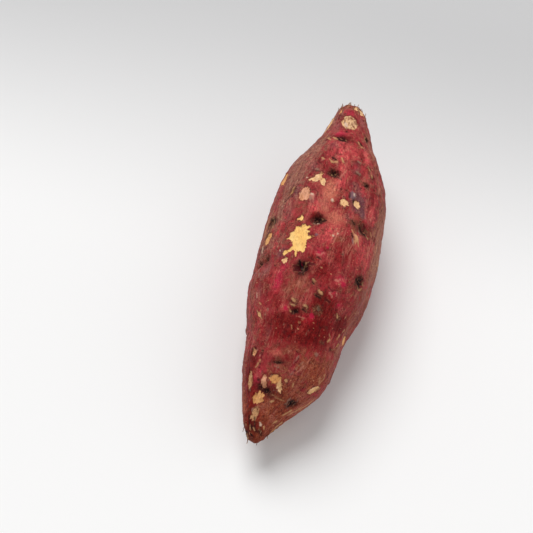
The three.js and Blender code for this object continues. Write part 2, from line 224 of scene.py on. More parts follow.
# Where the skin's colour turns, by tone: mm along, degrees around, reach along and across in mm,
# strength.
TONES = {
    "rose": [
        (147, 88, 9, 4, 0.75),
        (150, 52, 6, 2.5, 0.9),
        (168, 76, 5, 3, 0.4),
        (141, 99, 6, 4, 0.5),
        (134, 83, 9, 4, 0.6),
        (119, 41, 7, 3.5, 0.8),
        (112, 103, 3, 3, 0.8),
        (99, 84, 8, 7, 0.7),
        (101, 120, 7, 4, 0.4),
        (98, 45, 10, 5, 0.6),
        (96, 34, 12, 4, 0.5),
        (90, 102, 6, 8, 0.5),
        (150, 70, 7, 4, 0.5),
        (62, 122, 6, 3, 0.4),
    ],
    "salmon": [
        (123, 91, 9, 4.5, 0.9),
        (108, 80, 8, 8, 0.6),
        (112, 92, 5, 4, 0.6),
        (127, 104, 3, 7, 0.5),
        (36.5, 102, 3.5, 6, 0.5),
    ],
    "magenta": [
        (71, 119, 7, 3.2, 0.75),
        (78, 117, 5, 2.6, 0.6),
        (78, 57, 3, 4, 0.8),
        (70, 61, 3.5, 3.5, 0.6),
        (87.5, 86, 3, 3.5, 0.8),
        (89, 102, 3, 3, 0.6),
        (159, 103, 4, 4, 0.8),
        (175, 95, 3, 4, 0.6),
        (25, 122, 6, 4, 0.7),
        (57.5, 103, 3, 3, 0.7),
        (55, 76, 3, 5, 0.6),
        (67, 47, 3, 3, 0.5),
    ],
    "crimson": [
        (50, 86, 9, 17, 0.95),
        (52, 58, 9, 9, 1.0),
        (62, 62, 7, 9, 0.8),
        (48, 112, 7, 5, 0.7),
        (60, 116, 7, 5, 0.5),
        (90, 66, 9, 11, 0.4),
        (79, 78, 7, 7, 0.6),
        (84, 91, 5, 5, 0.7),
        (108, 99, 3, 3, 0.7),
        (66, 92, 4, 5, 0.4),
        (30, 142, 8, 5, 0.9),
        (17, 130, 7, 4, 0.9),
        (60, 32, 8, 8, 0.7),
        (66, 66, 6, 8, 0.7),
        (8, 128, 7, 7, 0.7),
    ],
    # Plum: partly a bruise, and partly painted shade on the upper left by the neck.
    "plum_and_shade": [
        (121, 60, 7, 5, 1.0),
        (117, 54, 4, 3, 1.0),
        (129, 66, 5, 4, 0.6),
        (140, 66, 8, 3.5, 0.45),
        (131, 73, 6, 3, 0.35),
        (112, 67, 5, 4, 0.5),
        (151, 101, 4, 4, 0.5),
        (137, 119, 7, 4, 0.5),
        (121, 127, 5, 3, 0.7),
        (116.4, 106, 4, 3, 0.5),
        (107, 128, 6, 4, 0.4),
        (86, 124, 4, 5, 0.7),
        (97, 120, 5, 3, 0.4),
    ],
    # Painted sheen: a greyish mauve sheen painted on the skin, mostly on the upper left and on the bulge by
    # the left edge.
    "painted_sheen": [
        (77, 139, 7, 4, 0.5),
        (66, 140, 8, 4, 0.4),
        (47, 122, 6, 4, 0.4),
        (135, 113, 5, 3, 0.5),
        (112, 130, 12, 4, 0.45),
        (31, 72, 5, 7, 0.3),
        (166, 120, 8, 4, 0.5),
        (172, 50, 5, 4, 0.6),
    ],
    "russet": [
        (69, 98, 6, 7, 0.9),
        (58, 94, 5, 7, 0.6),
        (97, 72, 4, 5, 0.5),
        (110, 61, 5, 4, 0.6),
        (82, 108, 4, 5, 0.6),
        (134, 60, 6, 4, 0.4),
        (40, 75, 7, 12, 0.6),
    ],
    # Dull: a greyish brown film on the upper left, partly weathered skin and partly painted sheen where the
    # light grazes the side.
    "dull_and_sheen": [
        (138, 134, 26, 9, 1.0),
        (112, 138, 13, 6, 0.9),
        (175, 140, 10, 8, 0.9),
        (92, 136, 8, 6, 0.7),
    ],
    "olive": [
        (107, 16, 28, 9, 1.0),
        (101, 156, 13, 5, 0.9),
        (160, 36, 14, 3, 0.6),
        (56, 18, 14, 5, 0.7),
        (30, 85, 4, 8, 0.5),
    ],
    "cork": [
        (10, 90, 20, 60, 1.0),
        (34, 40, 12, 16, 0.8),
        (30, 75, 6, 10, 0.5),
    ],
}
LIVE_TONES = ("rose", "crimson", "magenta", "salmon", "plum_and_shade", "painted_sheen")
FILM_TONES = ("russet", "dull_and_sheen", "olive", "cork")

# Small marks: each kind has its colour and how strongly it covers the skin. A mark has its kind, its
# width in mm, and the place or places it runs through in mm along and degrees around.
MARK_COLOURS = {
    "straw": (196, 146, 102, 0.75),
    "bark": (56, 24, 20, 0.85),
    "pale": (204, 132, 114, 0.5),
    "ash": (146, 116, 98, 0.5),
    "lilac": (120, 96, 104, 0.6),
    # Chalk: pale chalky specks, and painted highlights on the blisters.
    "chalk_and_highlight": (216, 184, 160, 0.8),
    "fresh": (180, 22, 58, 0.75),
    "bead": (222, 158, 112, 0.95),
    "umber": (118, 66, 44, 0.7),
    "rust": (80, 18, 22, 0.7),
    "pitch": (20, 5, 9, 0.95),
}
SUNK_MARKS = ("bark", "rust")
MARKS = [
    # The slit and the brows near the stem; the straw lines along their lips are painted highlight and the
    # bark lines beside them painted shadow
    ("straw", 0.9, (156.5, 111), (155.8, 104)),
    ("straw", 1.0, (155.8, 120), (154.8, 114)),
    ("straw", 0.9, (157.6, 66), (155.8, 61), (155.2, 56)),
    ("bark", 0.8, (158.2, 66), (156.8, 58)),
    ("straw", 1.1, (141, 99.5), (139.6, 96), (140, 90)),
    ("bark", 0.9, (142, 97), (141.3, 92)),
    ("straw", 0.9, (143, 86), (140.6, 83.5)),
    ("straw", 0.8, (141.4, 109), (140.6, 106)),
    ("ash", 1.2, (134.4, 112), (134, 108)),
    ("bark", 0.8, (133.3, 112), (133, 107)),
    ("straw", 0.9, (143.8, 51), (142.6, 48)),
    ("straw", 0.8, (140.6, 46), (139.8, 44)),
    ("straw", 0.7, (163.6, 47), (161.6, 47)),
    ("ash", 1.6, (144.6, 65), (144.2, 63)),
    ("ash", 1.4, (138, 66), (137.5, 63)),
    ("chalk_and_highlight", 0.8, (129, 119)),
    ("straw", 0.7, (132.6, 93.5)),
    ("straw", 0.6, (133.2, 90)),
    ("ash", 0.6, (132, 90.5)),
    ("rust", 1.2, (131.6, 86), (130.6, 82)),
    # The pale crease and the fine lines on the left
    ("pale", 1.0, (133, 83), (127, 86), (122.5, 89), (117, 93)),
    ("pale", 0.7, (133, 83), (137, 78)),
    ("ash", 0.8, (118, 132), (111.7, 130), (98.4, 126.5), (91.4, 125)),
    ("ash", 0.9, (127, 143), (118, 143), (110, 148), (103, 150)),
    ("straw", 0.8, (123.5, 131), (119.5, 134)),
    ("ash", 0.9, (133, 140), (124, 138), (117, 141)),
    ("bark", 1.0, (124, 128), (119, 133), (115, 139)),
    ("bark", 0.5, (150, 126), (141, 128), (131, 132)),
    ("straw", 0.5, (148, 130), (139, 132), (130, 136)),
    ("bark", 0.6, (157, 132), (147, 137), (139, 138)),
    ("ash", 0.6, (144, 122), (135, 125), (127, 126)),
    ("rust", 0.7, (138, 120), (131, 123), (125, 123)),
    ("straw", 0.5, (161, 126), (153, 128)),
    ("bark", 0.5, (134, 144), (126, 147), (119, 146)),
    ("bark", 0.9, (111, 151), (105, 156), (101, 155)),
    ("ash", 0.8, (108, 147), (103, 148), (99, 151)),
    ("bark", 1.1, (101, 151), (97, 155)),
    ("ash", 1.0, (93, 158), (89, 160)),
    ("bark", 0.9, (113, 166), (109, 168)),
    ("bark", 1.0, (105, 164), (101, 166)),
    ("straw", 0.6, (111, 158), (104, 160)),
    ("bark", 0.8, (121, 154), (117, 157)),
    ("bark", 0.9, (87.4, 168), (87, 157), (88.4, 148)),
    ("rust", 1.6, (92, 164), (92, 156), (91, 150)),
    ("pale", 0.8, (84.6, 164), (85.4, 153), (86.6, 145)),
    ("ash", 1.4, (79, 152), (74, 146)),
    # Blisters, dots and the bruise; the chalk marks on the blisters are painted highlights
    # The pale, chalk and ash spots paint the grey-white highlight of the blister by the pink patch.
    ("pale", 3.6, (117.4, 108)),
    ("chalk_and_highlight", 1.0, (118.6, 106.6), (118.9, 108.5)),
    ("ash", 1.6, (116.9, 108)),
    ("rust", 0.9, (119.6, 111), (122.2, 107), (120.6, 102), (118, 103)),
    ("lilac", 2.7, (124.8, 68.3), (122.6, 67.8)),
    ("chalk_and_highlight", 0.7, (125, 67), (124, 66.5)),
    ("bark", 0.8, (125, 71.5), (122, 71)),
    ("bark", 1.1, (121.5, 66.5), (120, 66)),
    ("chalk_and_highlight", 1.5, (118, 87)),
    ("chalk_and_highlight", 1.2, (98.6, 78)),
    ("chalk_and_highlight", 0.7, (100.4, 74.5)),
    ("straw", 0.6, (97.8, 79.5)),
    ("pale", 1.4, (116.4, 43)),
    ("straw", 0.9, (119.2, 28)),
    ("pale", 0.7, (92.4, 66), (91.4, 65)),
    ("ash", 0.8, (90.8, 65)),
    # Below the upper eye, and the wound and the scar at the right one
    ("ash", 1.3, (103.4, 98)),
    ("chalk_and_highlight", 0.9, (103.6, 94.6)),
    ("ash", 0.9, (102.2, 95.6)),
    ("pale", 1.0, (99.2, 93)),
    ("lilac", 1.5, (97, 93.2)),
    ("bark", 1.4, (105.6, 92), (106, 88)),
    ("rust", 1.0, (109.6, 98), (107.5, 94)),
    ("pale", 2.0, (103.6, 57), (102, 55)),
    ("bead", 1.3, (103.4, 56.6), (102, 54.8)),
    ("straw", 0.6, (101.8, 54.4), (98.8, 51)),
    ("straw", 0.6, (103.2, 58), (105.6, 61.5)),
    ("straw", 0.5, (102, 57.4), (99.4, 57.6)),
    ("ash", 0.5, (103.6, 54.6), (104.6, 50.6)),
    ("bark", 0.8, (103.6, 61.5), (101.6, 59)),
    ("straw", 0.8, (107.4, 44.5), (106.4, 41)),
    ("straw", 1.2, (102.2, 56.8), (99.8, 55.4)),
    ("lilac", 0.9, (101.2, 59.4), (98.8, 58)),
    ("umber", 0.8, (108.2, 60.6), (106.2, 56.6)),
    ("umber", 0.8, (110, 41.5), (108, 38)),
    ("straw", 0.5, (110.6, 39), (109, 36)),
    ("straw", 0.7, (110.2, 46), (109.8, 43.5)),
    ("ash", 1.0, (107.6, 53.5), (106, 51.5)),
    ("pitch", 1.1, (107.6, 47), (106.8, 44)),
    ("bark", 1.2, (109.4, 53), (108.2, 49)),
    ("rust", 1.2, (111.5, 51), (109.8, 44)),
    ("bark", 1.0, (110.4, 63.5), (109.4, 60)),
    # The rims of the lower right eye and of the eye on the left edge
    ("straw", 0.7, (80.6, 37), (79.6, 32.6), (81.6, 29)),
    ("umber", 0.9, (81.6, 39.6), (80.4, 36)),
    ("straw", 0.5, (85, 31.4), (83.4, 29)),
    ("straw", 0.8, (111, 152), (107.4, 149.6), (102.6, 147)),
    ("straw", 0.7, (108.4, 161), (103, 160), (99, 156.6)),
    ("umber", 1.0, (106.4, 153), (102.6, 150.6)),
    # The wrinkled crimson lump, with pale lines painted as highlight on its wrinkles, and the star-like eye
    ("rust", 1.2, (90.6, 95), (88.6, 90), (88.2, 84), (90.4, 78), (90, 71)),
    ("fresh", 1.4, (91, 80.6)),
    ("fresh", 1.6, (88, 87.4), (86.4, 85)),
    ("pale", 0.8, (86.8, 88.4), (86.2, 84.6), (88.2, 82)),
    ("bark", 0.8, (85.2, 87), (84.6, 83)),
    ("rust", 1.0, (84.6, 95), (83, 88)),
    ("pitch", 0.9, (79.4, 99), (82.2, 103)),
    ("pitch", 0.9, (79.6, 95.6), (81.6, 92.4)),
    ("pitch", 0.8, (77, 96), (74.8, 94.6)),
    ("rust", 1.6, (77.2, 101), (76.8, 105.4)),
    ("rust", 1.8, (78.6, 102), (79, 107)),
    ("rust", 1.6, (80.6, 94), (81.4, 88)),
    # Glints painted in the star-like eye's black pit: magenta, lilac and pale dots.
    ("fresh", 0.8, (80, 98.4)),
    ("lilac", 0.5, (79, 98.9), (78.4, 97)),
    ("fresh", 0.5, (77.2, 99.4)),
    ("pale", 0.4, (76.8, 96.6), (76.2, 98)),
    # The lumps and crusts across the belly
    ("fresh", 2.6, (77.4, 52.8), (76.8, 55)),
    ("pale", 1.4, (78.4, 60), (77, 62.5)),
    ("pale", 1.3, (70.4, 64.5), (69, 61)),
    ("pale", 1.0, (71.6, 57.5), (70.4, 56)),
    ("rust", 1.2, (72.6, 67), (71.4, 63), (73, 58)),
    ("rust", 1.1, (67, 66), (66.4, 60)),
    ("straw", 1.2, (69.4, 74.5), (68.4, 71.5)),
    ("bark", 1.2, (66.8, 76), (66.2, 71.5)),
    ("fresh", 2.2, (57.7, 102.6)),
    ("straw", 1.0, (62.6, 98), (61.4, 94)),
    ("straw", 0.8, (60, 98), (59.6, 93.5)),
    ("straw", 0.9, (60.8, 83.5), (60.2, 80.5)),
    ("bark", 1.1, (58.8, 84), (58.2, 80.5)),
    ("fresh", 2.0, (57.6, 73.5), (56.6, 71.5)),
    ("fresh", 1.5, (67.4, 48.6)),
    ("fresh", 1.1, (66, 44.5)),
    ("ash", 1.2, (62, 69.5), (61, 66)),
    ("straw", 1.0, (63.6, 44.5), (62.2, 42)),
    ("straw", 0.8, (74, 84.5), (73.2, 82)),
    ("bark", 0.9, (72.6, 84), (71.8, 82)),
    ("pale", 0.6, (54.8, 91), (55.3, 83), (54.6, 77)),
    ("straw", 0.5, (57.4, 142), (55, 138.5), (52.4, 134)),
    ("straw", 0.5, (57, 136.4), (55, 138.5)),
    ("straw", 0.7, (60.8, 139.5), (59.8, 136)),
    ("ash", 1.4, (57.4, 126.4), (56.2, 125.6)),
    ("pale", 0.3, (53, 103), (49, 100.5), (44, 101), (41, 99)),
    ("pale", 0.3, (52, 84), (48, 86), (43, 83.5)),
    ("straw", 0.4, (50.4, 92.4), (48.6, 91)),
    ("pale", 0.3, (51, 113), (44, 111.5), (40, 112)),
    ("straw", 0.8, (56.6, 26.5), (54.2, 28.5)),
    ("straw", 0.8, (60.6, 21), (59, 22.5)),
    ("straw", 0.8, (51.4, 40), (49.6, 42.5)),
    ("straw", 0.7, (66, 30), (64.8, 31)),
    # The blister with its painted chalk highlight, the slit and the marks of the root end
    ("bead", 2.8, (37.5, 138), (36.7, 138.4)),
    ("chalk_and_highlight", 0.6, (37.9, 137)),
    ("pale", 1.2, (35, 126)),
    ("bark", 0.9, (37.4, 124), (37, 122.5)),
    ("ash", 1.8, (41.8, 53), (41.6, 50)),
    ("ash", 1.0, (31, 99.5), (30.6, 94)),
    ("ash", 1.0, (36, 66), (31.5, 71), (28.8, 73.5)),
    ("pale", 0.9, (35, 62.5), (31, 66)),
    ("ash", 0.9, (37.5, 74), (34, 77)),
    ("rust", 0.8, (22.2, 92), (18.8, 74), (19.4, 58)),
    ("ash", 1.0, (19.8, 37)),
    ("ash", 1.4, (20.8, 48), (18.2, 48)),
    ("straw", 0.9, (35.5, 22), (31.5, 25.5), (33.5, 30), (36.4, 25), (35.5, 22)),
    ("straw", 0.8, (31, 17), (29, 20)),
    ("straw", 1.5, (25.6, 1), (20.5, 8), (16, 17)),
    ("straw", 1.0, (17.4, 24), (14.4, 30)),
    ("straw", 1.4, (12, 8), (8, 2)),
    ("straw", 1.0, (11, 31), (9.6, 34)),
    ("chalk_and_highlight", 1.0, (7.6, 82), (6.6, 74)),
    ("straw", 0.8, (6.6, 60), (5.8, 52)),
    ("straw", 0.5, (19.2, 84), (18.8, 66), (18.9, 54)),
    ("ash", 0.6, (20.6, 44), (22, 40), (21.8, 33), (19.6, 29), (17.2, 32), (17, 40), (18.6, 45)),
    ("pitch", 0.9, (20.2, 38), (18.6, 35.6)),
    ("straw", 1.0, (12.6, 100), (8.2, 104)),
    ("straw", 0.9, (13.6, 106), (9, 112)),
    ("straw", 0.8, (26.2, 62), (25, 60)),
    ("straw", 1.0, (16.6, 80), (17.2, 75)),
    ("bark", 0.8, (9, 106), (5, 96), (3.6, 80)),
    ("bark", 0.7, (10, 128), (6, 124)),
    ("bark", 0.7, (4.4, 66), (3, 40)),
    ("pitch", 0.8, (2.4, 110), (1.6, 90)),
    ("straw", 0.5, (5.2, 104), (4, 92)),
    # Holes in the wound at the stem end, painted as umber spots for their shade; the skin is not cut there
    ("umber", 1.1, (172.4, 88), (171.4, 80)),
    ("umber", 1.2, (170.4, 76), (169, 68)),
    ("umber", 0.8, (168.6, 82), (167, 77)),
    ("chalk_and_highlight", 1.4, (168, 100), (166, 94)),
]
RANDOM_MARKS = 420
RANDOM_KINDS = ("straw", "bark", "pale", "straw", "ash", "rust", "chalk_and_highlight")

# The flesh that a scraped patch shows: its colour, and how fibrous and brown it looks.
FLESH = {
    "cream": (244, 200, 150, 0.4),
    "yellow": (255, 210, 132, 0.1),
    "orange": (232, 172, 112, 0.45),
    "pink": (232, 168, 134, 0.35),
    "tan": (204, 158, 114, 1.2),
    "wound": (230, 190, 148, 1.0),
}
CORE_WEAR = 1.3  # the same for the torn core of the stem end

# Scraped patches: mm along, degrees around, size across and along in mm, turn in degrees, and flesh.
PATCHES = [
    (168.5, 88, 9.2, 9.0, 15, "wound"),
    (179.4, 66, 4.6, 2.4, 10, "cream"),
    (178.8, 42, 3.0, 4.0, 0, "cream"),
    (168.6, 152, 4.6, 12.5, 8, "cream"),
    (128.6, 108, 4.4, 4.0, 15, "cream"),
    (131, 105.6, 2.0, 3.8, -25, "cream"),
    (127.8, 113.6, 3.8, 1.6, 20, "cream"),
    (127.2, 100.3, 3.0, 4.6, 25, "cream"),
    (119.6, 116, 6.2, 7.6, -15, "pink"),
    (117.2, 113.4, 4.4, 3.4, 0, "pink"),
    (118.3, 74.8, 4.8, 4.0, 5, "cream"),
    (119.9, 61.5, 3.8, 4.2, 25, "cream"),
    (105.6, 112.6, 2.3, 3.4, -20, "yellow"),
    (104.8, 115.6, 2.0, 1.2, 20, "yellow"),
    (95.6, 110, 10.6, 10.6, 15, "yellow"),
    (91, 107.4, 7.6, 8.4, 15, "yellow"),
    (100.6, 107.6, 6.0, 3.4, 10, "yellow"),
    (95.2, 100.2, 4.2, 2.0, 20, "yellow"),
    (98.2, 101.8, 2.0, 1.6, 20, "yellow"),
    (94, 120.5, 3.0, 1.2, 25, "yellow"),
    (88, 114.2, 6.6, 2.4, 42, "yellow"),
    (86, 120.4, 3.6, 2.6, 40, "yellow"),
    (86.2, 108.7, 1.5, 4.6, 5, "yellow"),
    (87.6, 102.6, 1.8, 3.0, 15, "yellow"),
    (81.9, 118.4, 3.8, 3.4, 10, "cream"),
    (131.4, 156.5, 7.0, 7.5, -10, "orange"),
    (121.2, 131.5, 1.3, 3.4, -40, "orange"),
    (96.0, 150, 4.6, 7.4, -20, "orange"),
    (54.8, 138, 2.2, 3.0, 30, "cream"),
    (24.6, 138, 3.6, 9.0, 5, "tan"),
    (23.8, 108, 2.9, 6.4, 20, "pink"),
    (25.9, 92.4, 5.4, 4.0, 0, "orange"),
    (24.9, 88, 2.6, 2.2, 0, "orange"),
    (23.4, 80.6, 2.8, 5.0, 35, "cream"),
    (26.3, 74.5, 2.4, 2.4, 0, "tan"),
    (17.0, 110.6, 4.8, 5.2, 25, "orange"),
    (28.5, 24, 3.4, 5.4, -35, "cream"),
    (10.6, 109.5, 3.8, 6.0, 0, "tan"),
    (51.5, 22, 1.8, 6.0, -30, "tan"),
    (7.7, 356, 1.6, 5.0, 0, "orange"),
    (176, 128, 1.2, 5.0, 0, "orange"),
]
HIDDEN_PATCHES = 24  # on the far side, by the same uneven rule as its eyes
HIDDEN_FLESH = ("cream", "orange", "yellow", "tan", "pink")

# Strands: broken fibres all round the torn stem end, thicker ones at places of their own (mm along,
# degrees around), root fibres at the tip, and the numbers of the eyes that keep a rootlet's stub.
STEM_FIBRES = 13
STEM_SPIKES = [(181.6, 116), (180.8, 104), (179.6, 136), (176.8, 142), (181.2, 62)]
ROOT_FIBRES = 6
STUBBED_EYES = [0, 2, 12, 17, 21, 24, 28, 33, 37, 42]
STRAND_FOOT = 1.6  # mm that a strand reaches into the root
STRAND_STOPS = 13

# Small loose things: least and most size in mm, how far they lean in radians, and a seed.
HAIRS = (0.9, 2.2, 0.7, 4)
FLAKES = (0.5, 1.3, 0.5, 11)
CRUMBS = (0.25, 0.6, 1.0, 7)

# The stage: the floor's half width in m, the place in mm that the camera looks at, and each light's
# direction, width in degrees and strength.
FLOOR_HALF = 8.0
AIM = (-27.5, 8.4, 0)
SENSOR_WIDTH = 36
LIGHTS = {"key": ((-0.3, 0.52, 0.8), 42, 2.28), "fill": ((0.8, 0.1, 0.6), 70, 0.62)}
SKY_COLOUR = (1.0, 0.99, 0.98, 1)
SKY_STRENGTH = 0.38


def linear(red, green, blue):
    """A display colour, 0 to 255, as linear light."""
    return tuple(
        c / 12.92 if c <= 0.04045 else ((c + 0.055) / 1.055) ** 2.4
        for c in (red / 255, green / 255, blue / 255)
    )


def length_property(name, description, value_mm):
    return FloatProperty(
        name=name, description=description, default=value_mm * MM, min=0, unit="LENGTH", precision=5
    )


def colour_property(name, description, *rgb):
    return FloatVectorProperty(
        name=name,
        description=description,
        default=linear(*rgb),
        min=0,
        max=1,
        size=3,
        subtype="COLOR",
    )


class SweetPotatoSkin(bpy.types.PropertyGroup):
    stations: IntProperty(name="Stations", description="Rings of the skin from tip to stem", default=330)
    sectors: IntProperty(name="Sectors", description="Points in each ring of the skin", default=280)
    lump_height: length_property("Lumps", "Height of the small uneven lumps of the skin", 0.4)
    ridge_height: length_property("Ridges", "Height of the fine lengthwise ridges", 0.1)
    patch_depth: length_property("Patch depth", "How deep a scraped patch lies below the skin", 0.28)
    base: colour_property("Skin", "The skin's plain burgundy", 152, 42, 48)
    brown: colour_property("Brown", "The skin's browner mottling", 142, 70, 58)
    rose: colour_property("Rose", "The bright rose blush", 204, 72, 76)
    salmon: colour_property("Salmon", "The dusty salmon blush", 202, 108, 88)
    magenta: colour_property("Magenta", "Fresh skin that shows pink-purple", 190, 34, 66)
    crimson: colour_property("Crimson", "The deep crimson waist", 120, 8, 16)
    # Partly a bruise, partly painted shade on the upper left by the neck.
    plum_and_shade: colour_property("Plum", "The blue-purple bruise", 106, 60, 68)
    dull_and_sheen: colour_property("Dull", "The greyish brown weathered side", 146, 94, 82)
    # Partly weathered skin, partly painted sheen along the side.
    olive: colour_property("Olive", "The olive-brown weathered edge", 162, 102, 80)
    painted_sheen: colour_property("Bloom", "The greyish mauve bloom on sheltered skin", 152, 100, 94)
    russet: colour_property("Russet", "The thick brown film round the eyes", 136, 64, 46)
    # Painted sheen: a greyish mauve sheen painted on the skin.
    cork: colour_property("Cork", "The orange-brown corky root end", 144, 64, 38)
    soil: colour_property("Soil", "Soil and shadow in the eyes", 32, 13, 13)
    crust: colour_property("Crust", "The tan crust round an eye", 178, 114, 82)


class SweetPotatoFibres(bpy.types.PropertyGroup):
    tip: length_property("Tip thickness", "Thickness of a fibre's free end", 0.3)
    steps: IntProperty(name="Steps", description="Bends along a fibre", default=9)
    sides: IntProperty(name="Sides", description="Sides of a fibre", default=7)
    waver: length_property("Waver", "How far a fibre strays from its line", 0.22)
    hairs: FloatProperty(name="Hairs", description="Fine hairs on a square metre at the ends", default=30000)
    colour: colour_property("Fibre", "Dry fibre", 160, 112, 80)
    flakes: FloatProperty(
        name="Flakes", description="Loose flakes on a square metre of torn edge", default=120000
    )
    crumbs: FloatProperty(name="Crumbs", description="Soil crumbs on a square metre of pit", default=160000)


class SweetPotatoStage(bpy.types.PropertyGroup):
    azimuth: FloatProperty(
        name="Azimuth",
        description="Turn of the camera round the root",
        default=math.radians(15),
        unit="ROTATION",
    )
    elevation: FloatProperty(
        name="Elevation",
        description="Height of the camera above the floor",
        default=math.radians(62),
        unit="ROTATION",
    )
    distance: length_property("Distance", "From the camera to the point it looks at", 830)
    lens: FloatProperty(name="Lens", description="Focal length in mm on a 36 mm sensor", default=107.87)
    floor: colour_property("Floor", "The pale floor", 240, 240, 240)
    # Painted shade: the floor further off is painted greyer.
    far_floor_shade: colour_property("Backdrop", "The floor further off, a little greyer", 196, 196, 197)


def spread(number, low, high, share=GOLDEN):
    """Even steps of a share that never repeats and leaves no gap."""
    return low + (high - low) * (((number + 1) * share) % 1.0)


def smooth(value, low, high):
    t = np.clip((value - low) / (high - low), 0, 1)
    return t * t * (3 - 2 * t)


def unit(vectors):
    return vectors / np.maximum(np.linalg.norm(vectors, axis=-1, keepdims=True), 1e-12)


def through(knots, share):
    """A place on the smooth curve through the middle two of four knots, at a share of the way."""
    p0, p1, p2, p3 = knots
    bend = 2 * p0 - 5 * p1 + 4 * p2 - p3 + share * (3 * (p1 - p2) + p3 - p0)
    return p1 + 0.5 * share * (p2 - p0 + share * bend)


class Form:
    """The plain body: points and normals by row number and angle around, in mm."""

    def __init__(self):
        rows = np.array(FORM) * (LENGTH, 1, 1, BELLY_WIDTH / 2, BELLY_HEIGHT / 2)
        mirror = (1, 1, 1, -1, -1)
        self.padded = np.vstack([rows[1] * mirror, rows, rows[-2] * mirror])
        self.last = len(rows) - 1
        self.fine = np.linspace(0, self.last, 6001)
        self.profile = self.at(self.fine)
        self.drop = 0.0

    def at(self, row):
        """Form values at fractional row numbers, on a smooth curve through the rows."""
        row = np.atleast_1d(row)
        i = np.clip(row.astype(int), 0, self.last - 1)
        return through([self.padded[i + k] for k in range(4)], (row - i)[:, None])

    def point(self, row, around):
        along, x, z, half_width, half_height = self.at(row).T
        return np.stack(
            [x + half_width * np.cos(around), ROOT_TIP_Y + along, z + half_height * np.sin(around)], -1
        )

    def normal(self, row, around):
        row, around = np.atleast_1d(row), np.atleast_1d(around)
        low, high = np.clip(row - 2e-3, 0, self.last), np.clip(row + 2e-3, 0, self.last)
        lengthwise = self.point(high, around) - self.point(low, around)
        sideways = self.point(row, around + 1e-3) - self.point(row, around - 1e-3)
        return unit(np.cross(lengthwise, sideways))

    def row_of(self, along):
        return np.interp(along, self.profile[:, 0], self.fine)

    def place(self, along, around):
        """A place on the plain skin: its point, and its axes up, across and along."""
        row = np.clip(self.row_of(along), 0.02, self.last - 0.02)
        turn = math.radians(around)
        up = self.normal(row, turn)[0]
        across = unit(np.cross((0, 1, 0), up))
        return self.point(row, np.array([turn]))[0], up, across, np.cross(up, across)

    def stations(self, count):
        """Row numbers of rings that lie evenly along the profile."""
        step = np.diff(self.profile[:, [0, 3]], axis=0)
        travelled = np.concatenate([[0], np.cumsum(np.linalg.norm(step, axis=1))])
        return np.interp(np.linspace(0, travelled[-1], count), travelled, self.fine)


def all_eyes():
    """The eyes that show, then the far side's ranks."""
    far = []
    for rank, around in enumerate(EYE_RANKS):
        for i in range(EYES_IN_RANK):
            number = rank * EYES_IN_RANK + i
            far.append(
                (
                    26 + 28 * i + spread(number, -9, 11),
                    around + spread(3 * number + 1, -7, 7),
                    spread(5 * number + 2, 3.5, 7.5),
                    spread(7 * number + 3, 0.7, 1.9),
                    spread(2 * number, 0.3, 0.95),
                    spread(4 * number, 0.2, 0.9),
                    spread(6 * number, 0.3, 0.85),
                    spread(8 * number, -30, 30),
                )
            )
    return EYES + far


def all_patches():
    """The scraped patches that show, then the far side's."""
    hidden = [
        (
            spread(n, 14, 170, PLASTIC),
            spread(n, 178, 366, PLASTIC**2),
            spread(5 * n + 1, 1.6, 6.5),
            spread(7 * n, 2.5, 9.0),
            spread(2 * n, -40, 40),
            HIDDEN_FLESH[n % len(HIDDEN_FLESH)],
        )
        for n in range(HIDDEN_PATCHES)
    ]
    return PATCHES + hidden


def all_marks():
    """Every small mark with its strength: the ones that show, then fainter ones all over by a rule."""
    marks = [(1.0, mark) for mark in MARKS]
    for n in range(RANDOM_MARKS):
        along, around = spread(n, 3, LENGTH - 4, PLASTIC), spread(n, 0, 360, PLASTIC**2)
        length = spread(5 * n + 2, 0, 1) ** 3 * 4.5
        stop = (along + length, around + spread(7 * n, -5, 5) * min(1, length))
        kind, width = RANDOM_KINDS[n % len(RANDOM_KINDS)], spread(17 * n, 0.35, 0.95)
        marks.append((spread(11 * n, 0.3, 0.9), (kind, width, (along, around), stop)))
    return marks


def noise_over(points, size, octaves):
    """Smooth noise of about -1 to 1 at each point, with features of that size."""
    return np.array([noise.fractal(p, 0.9, 2.1, octaves) for p in (points / size).tolist()])


def ragged(angle, seed, coarse, fine):
    """How much further out an uneven edge lies at each angle, as a share of its radius."""
    ring = np.stack([np.cos(angle), np.sin(angle), np.zeros(len(angle))], -1)
    lobes, teeth = noise_over(ring * 1.2 + seed * 7.3, 1, 1), noise_over(ring * 3.5 - seed * 5.1, 1, 2)
    return coarse * lobes + fine * teeth


def eye_relief(form, points):
    relief = np.zeros(len(points))
    for along_mm, around, width, depth, *_ in all_eyes():
        middle, _, across_axis, along_axis = form.place(along_mm, around)
        offset = points - middle
        near = np.flatnonzero((offset**2).sum(1) < 4 * width * width)
        across = offset[near] @ across_axis / (0.42 * width)
        along = offset[near] @ along_axis / (0.27 * width)
        brow = (along - 1.75) / 0.75
        relief[near] += BROW * depth * np.exp(-(0.55 * across**2 + brow**2))
        relief[near] -= depth * np.exp(-(across**2 + along**2))
    return relief


def swelling_relief(form, points, table):
    relief = np.zeros(len(points))
    for along, around, radius, height in table:
        q = ((points - form.place(along, around)[0]) ** 2).sum(1) / radius**2
        relief += np.where(q < 9, height * np.exp(-1.4 * q), 0)
    return relief


